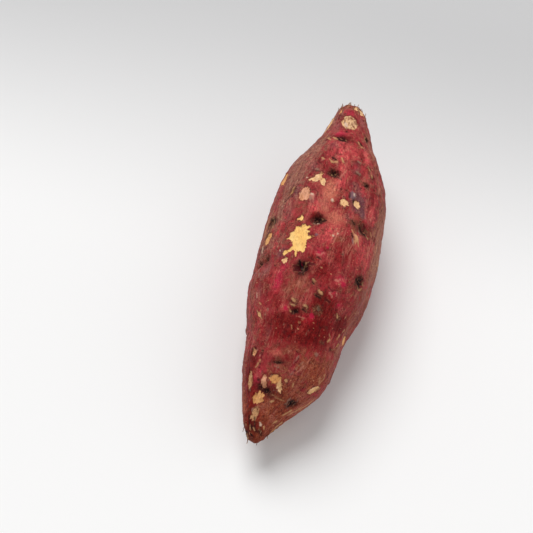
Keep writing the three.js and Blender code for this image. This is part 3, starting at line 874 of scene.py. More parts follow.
def furrow_relief(form, points):
    relief = np.zeros(len(points))
    for start, stop, width, depth in FURROWS:
        shares = np.linspace(0, 1, FURROW_PARTS + 1)
        line = [
            form.place(start[0] + (stop[0] - start[0]) * f, start[1] + (stop[1] - start[1]) * f)[0]
            for f in shares
        ]
        best, at = np.full(len(points), np.inf), np.zeros(len(points))
        for i in range(FURROW_PARTS):
            way = line[i + 1] - line[i]
            f = np.clip((points - line[i]) @ way / (way @ way), 0, 1)
            distance = np.linalg.norm(points - line[i] - f[:, None] * way, axis=1)
            at = np.where(distance < best, (i + f) / FURROW_PARTS, at)
            best = np.minimum(best, distance)
        q = best / (0.5 * width)
        relief -= depth * np.exp(-np.minimum(q, 6) ** 2) * np.sin(np.pi * at).clip(0) ** 0.7 * (q < 3)
    return relief


def stem_relief(form, points):
    tip = form.point(form.last, np.array([0.0]))[0]
    offset = points - tip
    out = np.hypot(offset[:, 0], offset[:, 2])
    turn = np.arctan2(offset[:, 2], offset[:, 0])
    fade = np.exp(-((offset[:, 1] / 4) ** 2)) * (offset[:, 1] > -12)
    teeth = 0.6 + 0.4 * np.sin(RIM_TEETH * turn + 2 * np.sin(2 * turn))
    rim = RIM_HEIGHT * teeth * np.exp(-(((out - RIM_RADIUS) / 1.3) ** 2))
    core = CORE_DEPTH * np.exp(-((out / (0.62 * RIM_RADIUS)) ** 2))
    return fade * (rim - core)


def write_field(mesh, name, values):
    """Stores a number, a colour or a vector for each point of a mesh."""
    if values.ndim == 1:
        kind, key = "FLOAT", "value"
    elif name in ("flesh", "mark_tint"):
        kind, key = "FLOAT_COLOR", "color"
        values = np.concatenate([values, np.ones((len(values), 1))], 1)
    else:
        kind, key = "FLOAT_VECTOR", "vector"
    data = mesh.attributes.new(name, kind, "POINT").data
    data.foreach_set(key, values.astype(np.float32).ravel())


class Skin:
    """The fine skin as arrays: points, faces and what the material reads from each point."""

    def __init__(self, settings):
        self.form = form = Form()
        rows = form.stations(settings.stations)[1:-1]
        turns = np.arange(settings.sectors) * 2 * np.pi / settings.sectors
        row = np.concatenate([[0.004], np.repeat(rows, len(turns)), [form.last - 0.004]])
        around = np.concatenate([[0], np.tile(turns, len(rows)), [0]])
        plain = form.point(row, around)
        plain[0], plain[-1] = form.point(0, np.array([0.0])), form.point(form.last, np.array([0.0]))
        normal = form.normal(row, around)
        normal[0], normal[-1] = (0, -1, 0), (0, 1, 0)
        along, x, z, half_width, half_height = form.at(row).T
        radius = (half_width + half_height) / 2
        self.along, self.radius = along, radius
        self.degrees = np.degrees(around)
        self.fields = {"skin_place": np.stack([along, plain[:, 0] - x, plain[:, 2] - z], -1)}
        self.mark_patches(plain)
        self.mark_eyes()
        self.mark_tones()
        raised = self.mark_lines(plain)

        lumps = noise_over(plain, 7.0, 4)
        small = noise_over(plain + 50, 2.4, 3)
        ridges = noise_over(self.fields["skin_place"] * (0.06, 1, 1), 2.2, 3)
        wrinkles = noise_over(plain * (0.35, 1, 0.35) + 90, 1.6, 3)
        at_ends = np.exp(-along / 16) + np.exp(-(LENGTH - along) / 18)
        pit = smooth(self.fields["eye"], -0.3, 0.9)
        lump_height, ridge_height = settings.lump_height / MM, settings.ridge_height / MM
        wound = LOBES * around + LOBE_TWIST * along * LOBES
        relief = (
            LOBE_HEIGHT * np.sin(np.pi * along / LENGTH) * np.cos(wound)
            + eye_relief(form, plain)
            + swelling_relief(form, plain, SWELLINGS)
            + swelling_relief(form, plain, BLISTERS)
            + furrow_relief(form, plain)
            + stem_relief(form, plain)
            + lump_height * (lumps + 0.4 * small)
            + ridge_height * ridges
            + WRINKLE_HEIGHT * at_ends * wrinkles
            + PIT_ROUGHNESS * pit * small
            + CRUST_HEIGHT * pit * self.fields["eye_crust"] * (1 + small)
            + raised
            - settings.patch_depth / MM * smooth(self.fields["patch"], -0.15, 0.45)
        )
        points = plain + normal * relief[:, None]
        form.drop = points[:, 2].min() + REST_CUT
        points[:, 2] = np.maximum(points[:, 2] - form.drop, 0)
        self.points = points * MM
        self.faces = self.make_faces(len(rows), len(turns))

    def make_faces(self, rings, sectors):
        first, last = 0, rings * sectors + 1
        at = np.arange(rings * sectors).reshape(rings, sectors) + 1
        after = np.roll(at, -1, axis=1)
        quads = np.stack([at[:-1], at[1:], after[1:], after[:-1]], -1).reshape(-1, 4).tolist()
        tip = [(first, a, b) for a, b in zip(at[0].tolist(), after[0].tolist())]
        stem = [(last, b, a) for a, b in zip(at[-1].tolist(), after[-1].tolist())]
        return tip + quads + stem

    def offsets(self, along, around):
        """Arc distances in mm from a place on the skin, across and along."""
        turn = (self.degrees - around + 180) % 360 - 180
        return -np.radians(turn) * self.radius, self.along - along

    def turned_offsets(self, along_mm, around, turn):
        """The same distances along axes turned by some degrees."""
        across, along = self.offsets(along_mm, around)
        c, s = math.cos(math.radians(turn)), math.sin(math.radians(turn))
        return c * across + s * along, -s * across + c * along

    def mark_patches(self, plain):
        """Distance inside the nearest scraped patch in mm, its flesh's colour and how fibrous it is."""
        nearest = np.full(len(plain), -9.0)
        colour = np.tile(linear(*FLESH["cream"][:3]), (len(plain), 1))
        worn = np.zeros(len(plain))
        fine, streaks = noise_over(plain + 70, 1.3, 2), noise_over(plain * (1, 0.3, 1) + 30, 0.8, 2)
        for seed, (along_mm, around, wide, long, turn, kind) in enumerate(all_patches()):
            u, v = self.turned_offsets(along_mm, around, turn)
            reach, angle = np.hypot(u / (wide / 2), v / (long / 2)), np.arctan2(v / long, u / wide)
            near = np.flatnonzero(reach < 2.6)
            *rgb, wear = FLESH[kind]
            wild = 0.4 if kind == "wound" else min(1, (5 / max(wide, long)) ** 0.9)
            lobes = ragged(angle[near], seed, 0.3 * wild, 0.34 * wild**0.8)
            inside = (1 + lobes - reach[near]) * min(wide, long) / 2
            inside -= wear * 0.7 * np.abs(streaks[near])
            closer = inside > nearest[near]
            nearest[near[closer]] = inside[closer]
            colour[near[closer]] = linear(*rgb)
            worn[near[closer]] = wear
        tip = self.form.point(self.form.last, np.array([0.0]))[0]
        core = CORE_RADIUS * (1 + 0.25 * streaks) - np.linalg.norm(plain - tip, axis=1)
        colour = np.where((core > nearest)[:, None], linear(*FLESH["tan"][:3]), colour)
        worn = np.where(core > nearest, CORE_WEAR, worn)
        nearest = np.maximum(nearest, core)
        self.fields["patch"] = (nearest + 0.35 * fine).clip(-6, 6)
        self.fields["flesh"], self.fields["patch_worn"] = colour, worn

    def mark_eyes(self):
        """How deep in an eye a point lies (1 in the middle, 0 at its edge), its darkness and crust."""
        deepest = np.full(len(self.along), -3.0)
        dark, crust = np.zeros(len(self.along)), np.zeros(len(self.along))
        for seed, (along_mm, around, width, _, darkness, crusty, slim, turn) in enumerate(
            all_eyes() + SMALL_EYES
        ):
            across, along = self.turned_offsets(along_mm, around, turn)
            reach = np.hypot(across / (0.5 * width), along / (0.5 * slim * width))
            near = np.flatnonzero(reach < 5)
            angle = np.arctan2(along[near], across[near] * slim)
            inside = 1 + ragged(angle, seed + 60, 0.35, 0.3) - reach[near]
            weight = np.exp(-0.35 * reach[near] ** 2)
            deepest[near] = np.maximum(deepest[near], inside * np.sqrt(min(1, slim * width / 2.2)))
            dark[near] = np.maximum(dark[near], darkness * weight)
            crust[near] = np.maximum(crust[near], crusty * weight)
        self.fields["eye"], self.fields["eye_dark"], self.fields["eye_crust"] = deepest, dark, crust

    def mark_lines(self, plain):
        """How strong the small marks are, their colour, and how far they stand out in mm."""
        strength, raised = np.zeros(len(plain)), np.zeros(len(plain))
        tint = np.tile(linear(*MARK_COLOURS["straw"][:3]), (len(plain), 1))
        uneven = noise_over(plain + 130, 1.4, 2)
        for share, (kind, width, *stops) in all_marks():
            line = [self.form.place(*stop)[0] for stop in stops]
            middle = sum(line) / len(line)
            reach = max(np.linalg.norm(stop - middle) for stop in line) + width + 0.6
            near = np.flatnonzero(((plain - middle) ** 2).sum(1) < reach**2)
            distance = np.linalg.norm(plain[near] - line[0], axis=1)
            for first, second in zip(line, line[1:]):
                way = second - first
                f = np.clip((plain[near] - first) @ way / (way @ way), 0, 1)
                away = np.linalg.norm(plain[near] - first - f[:, None] * way, axis=1)
                distance = np.minimum(distance, away)
            distance -= 0.35 * width * uneven[near]
            *rgb, most = MARK_COLOURS[kind]
            span = sum(np.linalg.norm(b - a) for a, b in zip(line, line[1:]))
            thin = min(1, (4 / max(span, 0.1)) ** 0.4)
            cover = share * thin * most * smooth(-distance, -0.5 * width - 0.35, -0.5 * width + 0.35)
            strength[near] = 1 - (1 - strength[near]) * (1 - cover)
            held = np.minimum(1, cover / np.maximum(strength[near], 1e-6))[:, None]
            tint[near] += held * (np.array(linear(*rgb)) - tint[near])
            raised[near] += cover * (-MARK_SINK if kind in SUNK_MARKS else MARK_RISE)
        self.fields["mark"], self.fields["mark_tint"] = strength, tint
        return raised

    def mark_tones(self):
        for tone, places in TONES.items():
            field = np.zeros(len(self.along))
            for along_mm, around, reach_along, reach_across, strength in places:
                across, along = self.offsets(along_mm, around)
                blob = np.exp(-((along / reach_along) ** 2 + (across / reach_across) ** 2))
                field = np.maximum(field, strength * blob)
            if tone == "cork":
                field = np.maximum(field, 0.95 * smooth(-self.along, -34, -8))
                field = np.maximum(field, 0.7 * smooth(self.along, LENGTH - 9, LENGTH - 1))
            self.fields[tone] = field

    def build(self, name):
        mesh = bpy.data.meshes.new(name)
        mesh.from_pydata(self.points.tolist(), [], self.faces)
        mesh.update()
        mesh.shade_smooth()
        for field, values in self.fields.items():
            write_field(mesh, field, values)
        piece = bpy.data.objects.new(name, mesh)
        bpy.context.scene.collection.objects.link(piece)
        return piece


class Nodes:
    """Adds nodes to a tree and links them. A value is a number, a colour or another node's output."""

    def __init__(self, tree):
        self.tree = tree

    def feed(self, socket, value):
        if isinstance(value, bpy.types.NodeSocket):
            self.tree.links.new(value, socket)
        elif hasattr(value, "__len__") and len(value) == 3 and socket.type == "RGBA":
            socket.default_value = (*value, 1)
        else:
            socket.default_value = value

    def add(self, kind, settings=(), **values):
        node = self.tree.nodes.new(kind)
        for name, value in dict(settings).items():
            setattr(node, name, value)
        for name, value in values.items():
            self.feed(node.inputs[name.replace("_", " ")], value)
        return node

    def math(self, operation, a, b=0.0, clamp=False):
        node = self.add("ShaderNodeMath", {"operation": operation, "use_clamp": clamp})
        self.feed(node.inputs[0], a)
        self.feed(node.inputs[1], b)
        return node.outputs[0]

    def plus(self, a, b, clamp=False):
        return self.math("ADD", a, b, clamp)

    def times(self, a, b, clamp=False):
        return self.math("MULTIPLY", a, b, clamp)

    def stir(self, value, pattern, amount):
        """Makes a value uneven by a pattern from 0 to 1, up and down alike."""
        return self.plus(value, self.times(self.math("SUBTRACT", pattern, 0.5), amount))

    def highest(self, values):
        top = values[0]
        for value in values[1:]:
            top = self.math("MAXIMUM", top, value)
        return top

    def vector(self, operation, a, b):
        node = self.add("ShaderNodeVectorMath", {"operation": operation})
        self.feed(node.inputs[0], a)
        self.feed(node.inputs["Scale" if operation == "SCALE" else 1], b)
        return node.outputs[0]

    def mix(self, factor, a, b, blend="MIX"):
        node = self.add("ShaderNodeMix", {"data_type": "RGBA", "blend_type": blend})
        self.feed(node.inputs[0], factor)
        self.feed(node.inputs[6], a)
        self.feed(node.inputs[7], b)
        return node.outputs[2]

    def step(self, value, low, high, bottom=0.0, top=1.0):
        node = self.add(
            "ShaderNodeMapRange",
            {"interpolation_type": "SMOOTHSTEP"},
            Value=value,
            From_Min=low,
            From_Max=high,
            To_Min=bottom,
            To_Max=top,
        )
        return node.outputs[0]

    def noise(self, vector, scale, detail=3.0, roughness=0.55, distortion=0.0):
        node = self.add(
            "ShaderNodeTexNoise",
            Vector=vector,
            Scale=scale,
            Detail=detail,
            Roughness=roughness,
            Distortion=distortion,
        )
        return node.outputs[0]

    def cells(self, vector, scale, feature="F1"):
        return self.add("ShaderNodeTexVoronoi", {"feature": feature}, Vector=vector, Scale=scale)

    def stretch(self, vector, x, y, z):
        return self.vector("MULTIPLY", vector, (x, y, z))

    def millimetres(self):
        """Places on the object, in mm."""
        place = self.add("ShaderNodeTexCoord").outputs["Object"]
        return self.stretch(place, 1 / MM, 1 / MM, 1 / MM)

    def field(self, name, output="Fac"):
        return self.add("ShaderNodeAttribute", {"attribute_name": name}).outputs[output]

    def group(self, tree, **values):
        return self.add("ShaderNodeGroup", {"node_tree": tree}, **values).outputs


def new_group(name, inputs, outputs):
    """An empty shader node group with its sockets; returns its nodes, its input node and its output node."""
    tree = bpy.data.node_groups.new(name, "ShaderNodeTree")
    kinds = {"value": "NodeSocketFloat", "colour": "NodeSocketColor", "vector": "NodeSocketVector"}
    for socket, (kind, default) in inputs.items():
        made = tree.interface.new_socket(socket, in_out="INPUT", socket_type=kinds[kind])
        made.default_value = default
    for socket, kind in outputs.items():
        tree.interface.new_socket(socket, in_out="OUTPUT", socket_type=kinds[kind])
    nodes = Nodes(tree)
    return nodes, nodes.add("NodeGroupInput").outputs, nodes.add("NodeGroupOutput").inputs


def lengthwise_streaks():
    """Fibrous streaks that run along a piece: a broad one and a fine one, 0 to 1."""
    name = "Lengthwise streaks"
    if name in bpy.data.node_groups:
        return bpy.data.node_groups[name]
    n, given, out = new_group(
        name,
        {
            "Vector": ("vector", (0, 0, 0)),
            "Broad": ("value", 0.35),
            "Fine": ("value", 1.3),
            "Stretch": ("value", 0.08),
        },
        {"Broad": "value", "Fine": "value"},
    )
    squeeze = n.add("ShaderNodeCombineXYZ", X=given["Stretch"], Y=1.0, Z=1.0).outputs[0]
    along = n.vector("MULTIPLY", given["Vector"], squeeze)
    n.feed(out["Broad"], n.noise(along, given["Broad"], 4, 0.6, 0.4))
    n.feed(out["Fine"], n.noise(along, given["Fine"], 3, 0.6, 0.2))
    return n.tree


def blush():
    """Lays a tint over a colour where a mask is high, with an uneven edge."""
    name = "Blush"
    if name in bpy.data.node_groups:
        return bpy.data.node_groups[name]
    n, given, out = new_group(
        name,
        {
            "Color": ("colour", (1, 1, 1, 1)),
            "Tint": ("colour", (1, 1, 1, 1)),
            "Mask": ("value", 0.0),
            "Unevenness": ("value", 0.5),
            "Strength": ("value", 1.0),
        },
        {"Color": "colour"},
    )
    reach = n.step(n.stir(given["Mask"], given["Unevenness"], 1.1), 0.12, 0.85)
    held = n.times(n.times(reach, given["Strength"]), n.step(given["Mask"], 0.0, 0.15))
    n.feed(out["Color"], n.mix(held, given["Color"], given["Tint"]))
    return n.tree


def specks():
    """Scattered specks, one to a cell and only in some cells: a mask from 0 to 1."""
    name = "Specks"
    if name in bpy.data.node_groups:
        return bpy.data.node_groups[name]
    n, given, out = new_group(
        name,
        {
            "Vector": ("vector", (0, 0, 0)),
            "Per mm": ("value", 0.4),
            "Size": ("value", 0.16),
            "Share": ("value", 0.4),
        },
        {"Mask": "value"},
    )
    cell = n.cells(given["Vector"], given["Per mm"])
    chance = n.add("ShaderNodeSeparateColor", Color=cell.outputs["Color"]).outputs
    wanted = n.math("LESS_THAN", chance[0], given["Share"])
    size = n.times(given["Size"], n.plus(n.times(chance[1], 1.2), 0.4))
    near = n.math("SUBTRACT", size, cell.outputs["Distance"])
    n.feed(out["Mask"], n.times(wanted, n.step(near, -0.04, 0.05)))
    return n.tree


def crust():
    """Dry corky crust: its raised grain in the lit colour, its low grain and cracks in painted shade. Gives
    a colour and a height.
    """
    name = "Corky crust"
    if name in bpy.data.node_groups:
        return bpy.data.node_groups[name]
    n, given, out = new_group(
        name,
        {
            "Vector": ("vector", (0, 0, 0)),
            "Per mm": ("value", 1.4),
            "Color": ("colour", (0.3, 0.2, 0.1, 1)),
            "Shade": ("colour", (0.02, 0.01, 0.01, 1)),
        },
        {"Color": "colour", "Height": "value"},
    )
    grain = n.noise(given["Vector"], given["Per mm"], 4, 0.65, 0.8)
    crack = n.cells(given["Vector"], given["Per mm"], "DISTANCE_TO_EDGE").outputs[0]
    solid = n.step(n.plus(crack, n.times(grain, 0.3)), 0.12, 0.36)
    # Painted shade: low grain and cracks take the shade colour, raised grain the lit one.
    lit = n.mix(n.step(grain, 0.36, 0.64), given["Shade"], given["Color"])
    n.feed(out["Color"], n.mix(solid, given["Shade"], lit))
    n.feed(out["Height"], n.times(solid, grain))
    return n.tree


def new_material(name):
    material = bpy.data.materials.new(name)
    material.use_nodes = True
    nodes = Nodes(material.node_tree)
    return material, nodes, material.node_tree.nodes["Principled BSDF"].inputs


def add_bump(n, shader, height, strength, depth_mm):
    bump = n.add("ShaderNodeBump", Height=height, Strength=strength, Distance=depth_mm * MM)
    n.feed(shader["Normal"], bump.outputs[0])


def skin_patterns(n):
    """The patterns that the skin's colours and relief share, by name."""
    still = n.field("skin_place", "Vector")
    drift = n.add("ShaderNodeTexNoise", Vector=still, Scale=0.035, Detail=1.0).outputs["Color"]
    sway = n.vector("SUBTRACT", drift, (0.5, 0.5, 0.5))
    place = n.vector("ADD", still, n.stretch(sway, 0, 9, 9))
    streaks = n.group(lengthwise_streaks(), Vector=place, Broad=0.26, Fine=0.75, Stretch=0.17)
    return SimpleNamespace(
        still=still,
        place=place,
        broad=streaks["Broad"],
        fine=streaks["Fine"],
        hairline=n.noise(n.stretch(place, 0.1, 1, 1), 1.7, 2, 0.5),
        swirl=n.noise(n.stretch(still, 0.5, 1, 1), 0.36, 3, 0.55, 1.8),
        curl=n.noise(n.stretch(place, 0.8, 1, 1), 0.6, 2, 0.5, 1.2),
        crumble=n.noise(still, 1.0, 4, 0.66),
        pores=n.noise(n.stretch(place, 0.7, 1, 1), 1.0, 1, 0.5),
        mottle=n.noise(place, 0.09, 4, 0.6, 0.6),
        blotch=n.noise(place, 0.3, 5, 0.65, 0.8),
        patchy=n.noise(n.stretch(place, 0.45, 1, 1), 0.17, 4, 0.6, 1.0),
        grain=n.noise(n.stretch(place, 0.45, 1, 1), 1.1, 4, 0.66),
        tones={tone: n.field(tone) for tone in TONES},
    )


def blushed(n, look, p, colour, tones, strength):
    """Lays tones over a colour, each with the pattern that makes its edge uneven."""
    for tone, uneven in tones:
        tint = tuple(getattr(look, tone))
        colour = n.group(
            blush(), Color=colour, Tint=tint, Mask=p.tones[tone], Unevenness=uneven, Strength=strength
        )["Color"]
    return colour


def live_skin(n, look, p):
    """The live skin: burgundy with crimson, rose, salmon and magenta in it, plum that is partly a bruise and
    partly painted shade, and painted sheen.
    """
    colour = n.mix(n.step(p.mottle, 0.42, 0.6, 0, 0.75), look.base, look.crimson)
    colour = n.mix(n.step(p.patchy, 0.5, 0.68, 0, 0.6), colour, look.rose)
    tones = (
        ("salmon", p.blotch),
        ("crimson", p.patchy),
        ("plum_and_shade", p.blotch),
        ("rose", p.broad),
        ("magenta", p.blotch),
        ("painted_sheen", p.broad),
    )
    return blushed(n, look, p, colour, tones, 0.94)


def corky_film(n, look, p):
    """The thin film over the live skin, in browns."""
    colour = n.mix(n.step(p.blotch, 0.38, 0.62, 0, 0.7), look.brown, linear(104, 42, 32))
    return blushed(n, look, p, colour, [(tone, p.blotch) for tone in FILM_TONES], 0.9)


def film_cover(n, p):
    """Where the film is left: it is worn through in streaks and blotches."""
    kept = n.highest([p.tones[tone] for tone in FILM_TONES])
    worn = n.highest([p.tones[tone] for tone in LIVE_TONES])
    cover = n.math("SUBTRACT", n.times(kept, 0.8), n.times(worn, 0.8))
    for pattern, share in ((p.broad, 1.5), (p.blotch, 2.4), (p.fine, 0.6), (p.mottle, 1.2), (p.grain, 0.5)):
        cover = n.stir(cover, pattern, share)
    return n.step(cover, -0.25, 0.5, 0, 0.85)


def streaked(n, p, colour):
    """Fibrous streaks lighten or darken what they cross, strongly in some places and hardly in others."""
    fibrous = n.step(n.noise(p.place, 0.06, 2, 0.5), 0.38, 0.6, 0.35, 1.0)
    for tone in ("dull_and_sheen", "rose", "crimson", "cork"):
        fibrous = n.math("MAXIMUM", fibrous, n.step(p.tones[tone], 0.2, 0.6, 0, 0.95))
    for pattern, low, high, most, tint in (
        (p.broad, 0.56, 0.7, 0.6, (1.35, 1.5, 1.4)),
        (p.broad, 0.46, 0.3, 0.7, (0.5, 0.42, 0.5)),
        (p.fine, 0.54, 0.68, 0.6, (1.4, 1.8, 1.6)),
        (p.fine, 0.46, 0.32, 0.6, (0.45, 0.35, 0.42)),
        (p.hairline, 0.6, 0.72, 0.5, (1.5, 2.2, 1.9)),
        (p.grain, 0.44, 0.3, 0.6, (0.42, 0.32, 0.4)),
        (p.grain, 0.58, 0.72, 0.5, (1.4, 1.9, 1.7)),
        (p.pores, 0.38, 0.35, 0.8, (0.36, 0.26, 0.34)),
        (p.pores, 0.64, 0.67, 0.8, (1.5, 2.4, 2.0)),
    ):
        share = n.times(n.step(pattern, low, high, 0, most), fibrous)
        colour = n.mix(share, colour, tint, "MULTIPLY")
    return colour


def level_lines(n, pattern, level, width, most):
    """Thin lines where a pattern passes a level, like the height lines of a map."""
    return n.step(n.math("ABSOLUTE", n.math("SUBTRACT", pattern, level)), width, 0.0, 0, most)


def curled_lines(n, p, colour):
    """Curved lines where the film has cracked and curled, dry tan and dark red."""
    cracked = n.step(p.blotch, 0.42, 0.56, 0.15, 1.0)
    for pattern, level, width, most, tint in (
        (p.swirl, 0.5, 0.02, 0.4, (200, 134, 104)),
        (p.swirl, 0.565, 0.03, 0.6, (62, 12, 18)),
        (p.curl, 0.47, 0.026, 0.35, (206, 140, 112)),
        (p.curl, 0.42, 0.03, 0.5, (70, 14, 20)),
    ):
        line = level_lines(n, pattern, level, width, most)
        colour = n.mix(n.times(line, cracked), colour, linear(*tint))
    return colour


def long_fibres(n, p, colour):
    """Long pale fibres that run with the root, broken into stretches."""
    thread = n.noise(n.stretch(p.place, 0.05, 1, 1), 0.4, 1, 0.5)
    stretch = n.step(n.noise(n.stretch(p.place, 0.3, 1, 1), 0.22, 2, 0.5), 0.5, 0.62)
    for level in (0.43, 0.5, 0.57):
        line = level_lines(n, thread, level, 0.03, 0.42)
        colour = n.mix(n.times(line, stretch), colour, linear(206, 128, 108))
    return colour


def deepened(n, p, colour):
    """Deepens the crimson waist and darkens the root tip."""
    deep = n.step(n.stir(p.tones["crimson"], p.patchy, 0.8), 0.1, 0.8)
    colour = n.mix(n.times(deep, 0.85), colour, linear(216, 96, 108), "MULTIPLY")
    along = n.add("ShaderNodeSeparateXYZ", Vector=p.still).outputs[0]
    return n.mix(n.step(along, 13, 4), colour, (0.7, 0.6, 0.5), "MULTIPLY")


def speckled(n, p, colour):
    """Tan and dark specks; gives the colour and both masks."""
    masks = []
    for scale, per_mm, size, share, shown, tint in (
        ((1.6, 1, 1), 0.42, 0.15, 0.16, n.step(p.patchy, 0.36, 0.6, 0.15, 0.8), (206, 142, 104)),
        ((1.3, 1, 1.1), 0.4, 0.2, 0.25, n.step(p.blotch, 0.42, 0.6, 0.1, 0.7), (60, 18, 20)),
    ):
        place = n.stretch(p.place, *scale)
        mask = n.group(specks(), Vector=place, Per_mm=per_mm, Size=size, Share=share)["Mask"]
        masks.append(n.times(mask, shown))
        colour = n.mix(masks[-1], colour, linear(*tint))
    return colour, *masks


def with_eyes(n, look, p, colour):
    """Eyes: painted dark red shade round each hollow, a corky rim in crumbs and a black-brown pit of soil,
    darkened to its middle as painted shade.

    Gives the colour, the painted shade round the eye, the pit and the height of the crumbs.
    """
    dark = n.field("eye_dark")
    inside = n.stir(n.field("eye"), p.crumble, 2.0)
    # Painted shade: a dark red ring round each eye's hollow.
    painted_eye_shade = n.times(n.step(inside, -2.2, 0.3), dark, clamp=True)
    colour = n.mix(n.times(painted_eye_shade, 0.7), colour, linear(84, 24, 22))

    grain = n.stretch(p.still, 1.2, 0.9, 0.9)
    bark = n.group(crust(), Vector=grain, Per_mm=0.75, Color=tuple(look.crust), Shade=linear(70, 32, 26))
    crumbs = n.step(n.plus(p.blotch, p.crumble), 0.92, 1.12)
    rim = n.times(n.step(inside, -0.5, 0.3), n.step(n.field("eye_crust"), 0.15, 0.7))
    colour = n.mix(n.times(rim, 0.45), colour, linear(96, 48, 36))
    colour = n.mix(n.times(n.times(rim, crumbs), 0.9), colour, bark["Color"])

    pit = n.times(n.step(inside, -0.5, 0.6), n.step(dark, 0.3, 0.8))
    # The pit: soil with tan speckle, and painted shade that darkens it from a red-brown edge to its middle;
    # the darkest eyes turn near black.
    speckle = n.noise(p.still, 1.1, 3, 0.7)
    pit_soil_and_shade = n.mix(n.step(speckle, 0.54, 0.62, 0, 0.75), look.soil, linear(150, 96, 72))
    pit_soil_and_shade = n.mix(n.step(inside, 0.5, -0.4, 0, 0.6), pit_soil_and_shade, linear(74, 28, 24))
    pit_soil_and_shade = n.mix(n.step(dark, 1.12, 1.25, 0, 0.97), pit_soil_and_shade, linear(20, 5, 9))
    colour = n.mix(n.times(pit, 0.95), colour, pit_soil_and_shade)
    return colour, painted_eye_shade, pit, n.times(bark["Height"], rim)


def with_patches(n, p, colour):
    """Scraped patches: pale flesh with deeper fibres in it, and a thin dark line at the torn edge."""
    torn = n.stir(n.field("patch"), p.crumble, 1.3)
    plain = n.field("flesh", "Color")
    flesh = n.mix(n.step(p.patchy, 0.4, 0.62, 0, 0.6), plain, (0.92, 0.76, 0.56), "MULTIPLY")
    flesh = n.mix(n.step(p.broad, 0.54, 0.66, 0, 0.5), flesh, (1.05, 1.15, 1.35), "MULTIPLY")
    ribs = n.times(n.step(n.plus(p.fine, p.crumble), 1.04, 0.86), n.field("patch_worn"))
    flesh = n.mix(n.times(ribs, 0.75), flesh, linear(140, 82, 56))
    stains = n.step(n.plus(n.times(p.blotch, 0.6), p.grain), 0.84, 0.98, 0, 0.5)
    flesh = n.mix(stains, flesh, linear(176, 108, 70))
    flesh = n.mix(n.step(torn, 0.45, 0.05, 0, 0.5), flesh, linear(170, 92, 56))
    rind = n.times(n.step(torn, -0.8, 0.0), 0.4)
    colour = n.mix(rind, colour, linear(92, 24, 30))
    bare = n.step(torn, -0.08, 0.14)
    return n.mix(bare, colour, flesh), bare


def with_marks(n, p, colour):
    """Small marks of one colour, with crumbled edges, on top of the rest."""
    mark = n.field("mark")
    uneven = n.plus(n.times(n.plus(p.crumble, p.grain), 0.5), n.times(mark, 0.3))
    shown = n.times(mark, n.step(uneven, 0.5, 0.62))
    return n.mix(n.times(shown, 1.2, clamp=True), colour, n.field("mark_tint", "Color"))


def skin_material(look):
    material, n, shader = new_material("Sweet potato skin")
    p = skin_patterns(n)
    colour = n.mix(film_cover(n, p), live_skin(n, look, p), corky_film(n, look, p))
    for layer in (streaked, curled_lines, long_fibres, deepened):
        colour = layer(n, p, colour)
    colour, tan, dark = speckled(n, p, colour)
    colour, painted_eye_shade, pit, crumbs = with_eyes(n, look, p, colour)
    colour, bare = with_patches(n, p, colour)
    n.feed(shader["Base Color"], with_marks(n, p, colour))

    rough = n.plus(n.step(p.blotch, 0.3, 0.7, 0.48, 0.66), n.times(bare, 0.15), clamp=True)
    n.feed(shader["Roughness"], n.plus(rough, n.times(painted_eye_shade, 0.2), clamp=True))
    shader["Specular IOR Level"].default_value = 0.1
    shader["Sheen Weight"].default_value = 0.02
    shader["Sheen Roughness"].default_value = 0.4

    height = n.times(p.fine, 0.4)
    for pattern, share in (
        (p.broad, 0.5),
        (p.hairline, 0.18),
        (p.blotch, 0.8),
        (p.grain, 0.4),
        (p.pores, 0.3),
        (tan, 0.2),
        (crumbs, 0.9),
        (pit, -0.4),
        (bare, -0.35),
        (dark, -0.2),
        (p.swirl, 0.5),
    ):
        height = n.plus(height, n.times(pattern, share))
    add_bump(n, shader, height, 1.0, 0.6)
    return material


def fibre_material(look):
    material, n, shader = new_material("Dry fibre")
    streaks = n.group(lengthwise_streaks(), Vector=n.millimetres(), Broad=0.9, Fine=3.0, Stretch=0.3)
    colour = n.mix(n.step(streaks["Broad"], 0.35, 0.65), linear(104, 62, 44), look.colour)
    colour = n.mix(n.step(streaks["Fine"], 0.5, 0.75, 0, 0.5), colour, linear(190, 148, 108))
    n.feed(shader["Base Color"], colour)
    shader["Roughness"].default_value = 0.85
    add_bump(n, shader, streaks["Fine"], 0.6, 0.1)
    return material


def crust_material(name, per_mm, colour, shade, roughness, bump):
    """Bits of dry crust."""
    material, n, shader = new_material(name)
    bark = n.group(
        crust(), Vector=n.millimetres(), Per_mm=per_mm, Color=linear(*colour), Shade=linear(*shade)
    )
    n.feed(shader["Base Color"], bark["Color"])
    shader["Roughness"].default_value = roughness
    add_bump(n, shader, bark["Height"], bump, 0.1)
    return material


def flake_material():
    return crust_material("Loose skin", 1.6, (178, 118, 88), (98, 38, 38), 0.75, 0.5)


def soil_material():
    return crust_material("Soil crumbs", 0.9, (150, 104, 76), (64, 32, 24), 0.95, 0.6)


def floor_material(look):
    material, n, shader = new_material("Pale floor")
    place = n.add("ShaderNodeTexCoord").outputs["Object"]
    away = n.add("ShaderNodeSeparateXYZ", Vector=place).outputs[1]
    # Painted shade: the floor turns greyer further off, along an uneven line.
    far_shade = n.step(n.plus(away, n.times(n.noise(place, 2.0, 2, 0.5), 0.05)), 0.02, 0.21)
    n.feed(shader["Base Color"], n.mix(far_shade, look.floor, look.far_floor_shade))
    shader["Roughness"].default_value = 0.6
    shader["Specular IOR Level"].default_value = 0.2
    return material


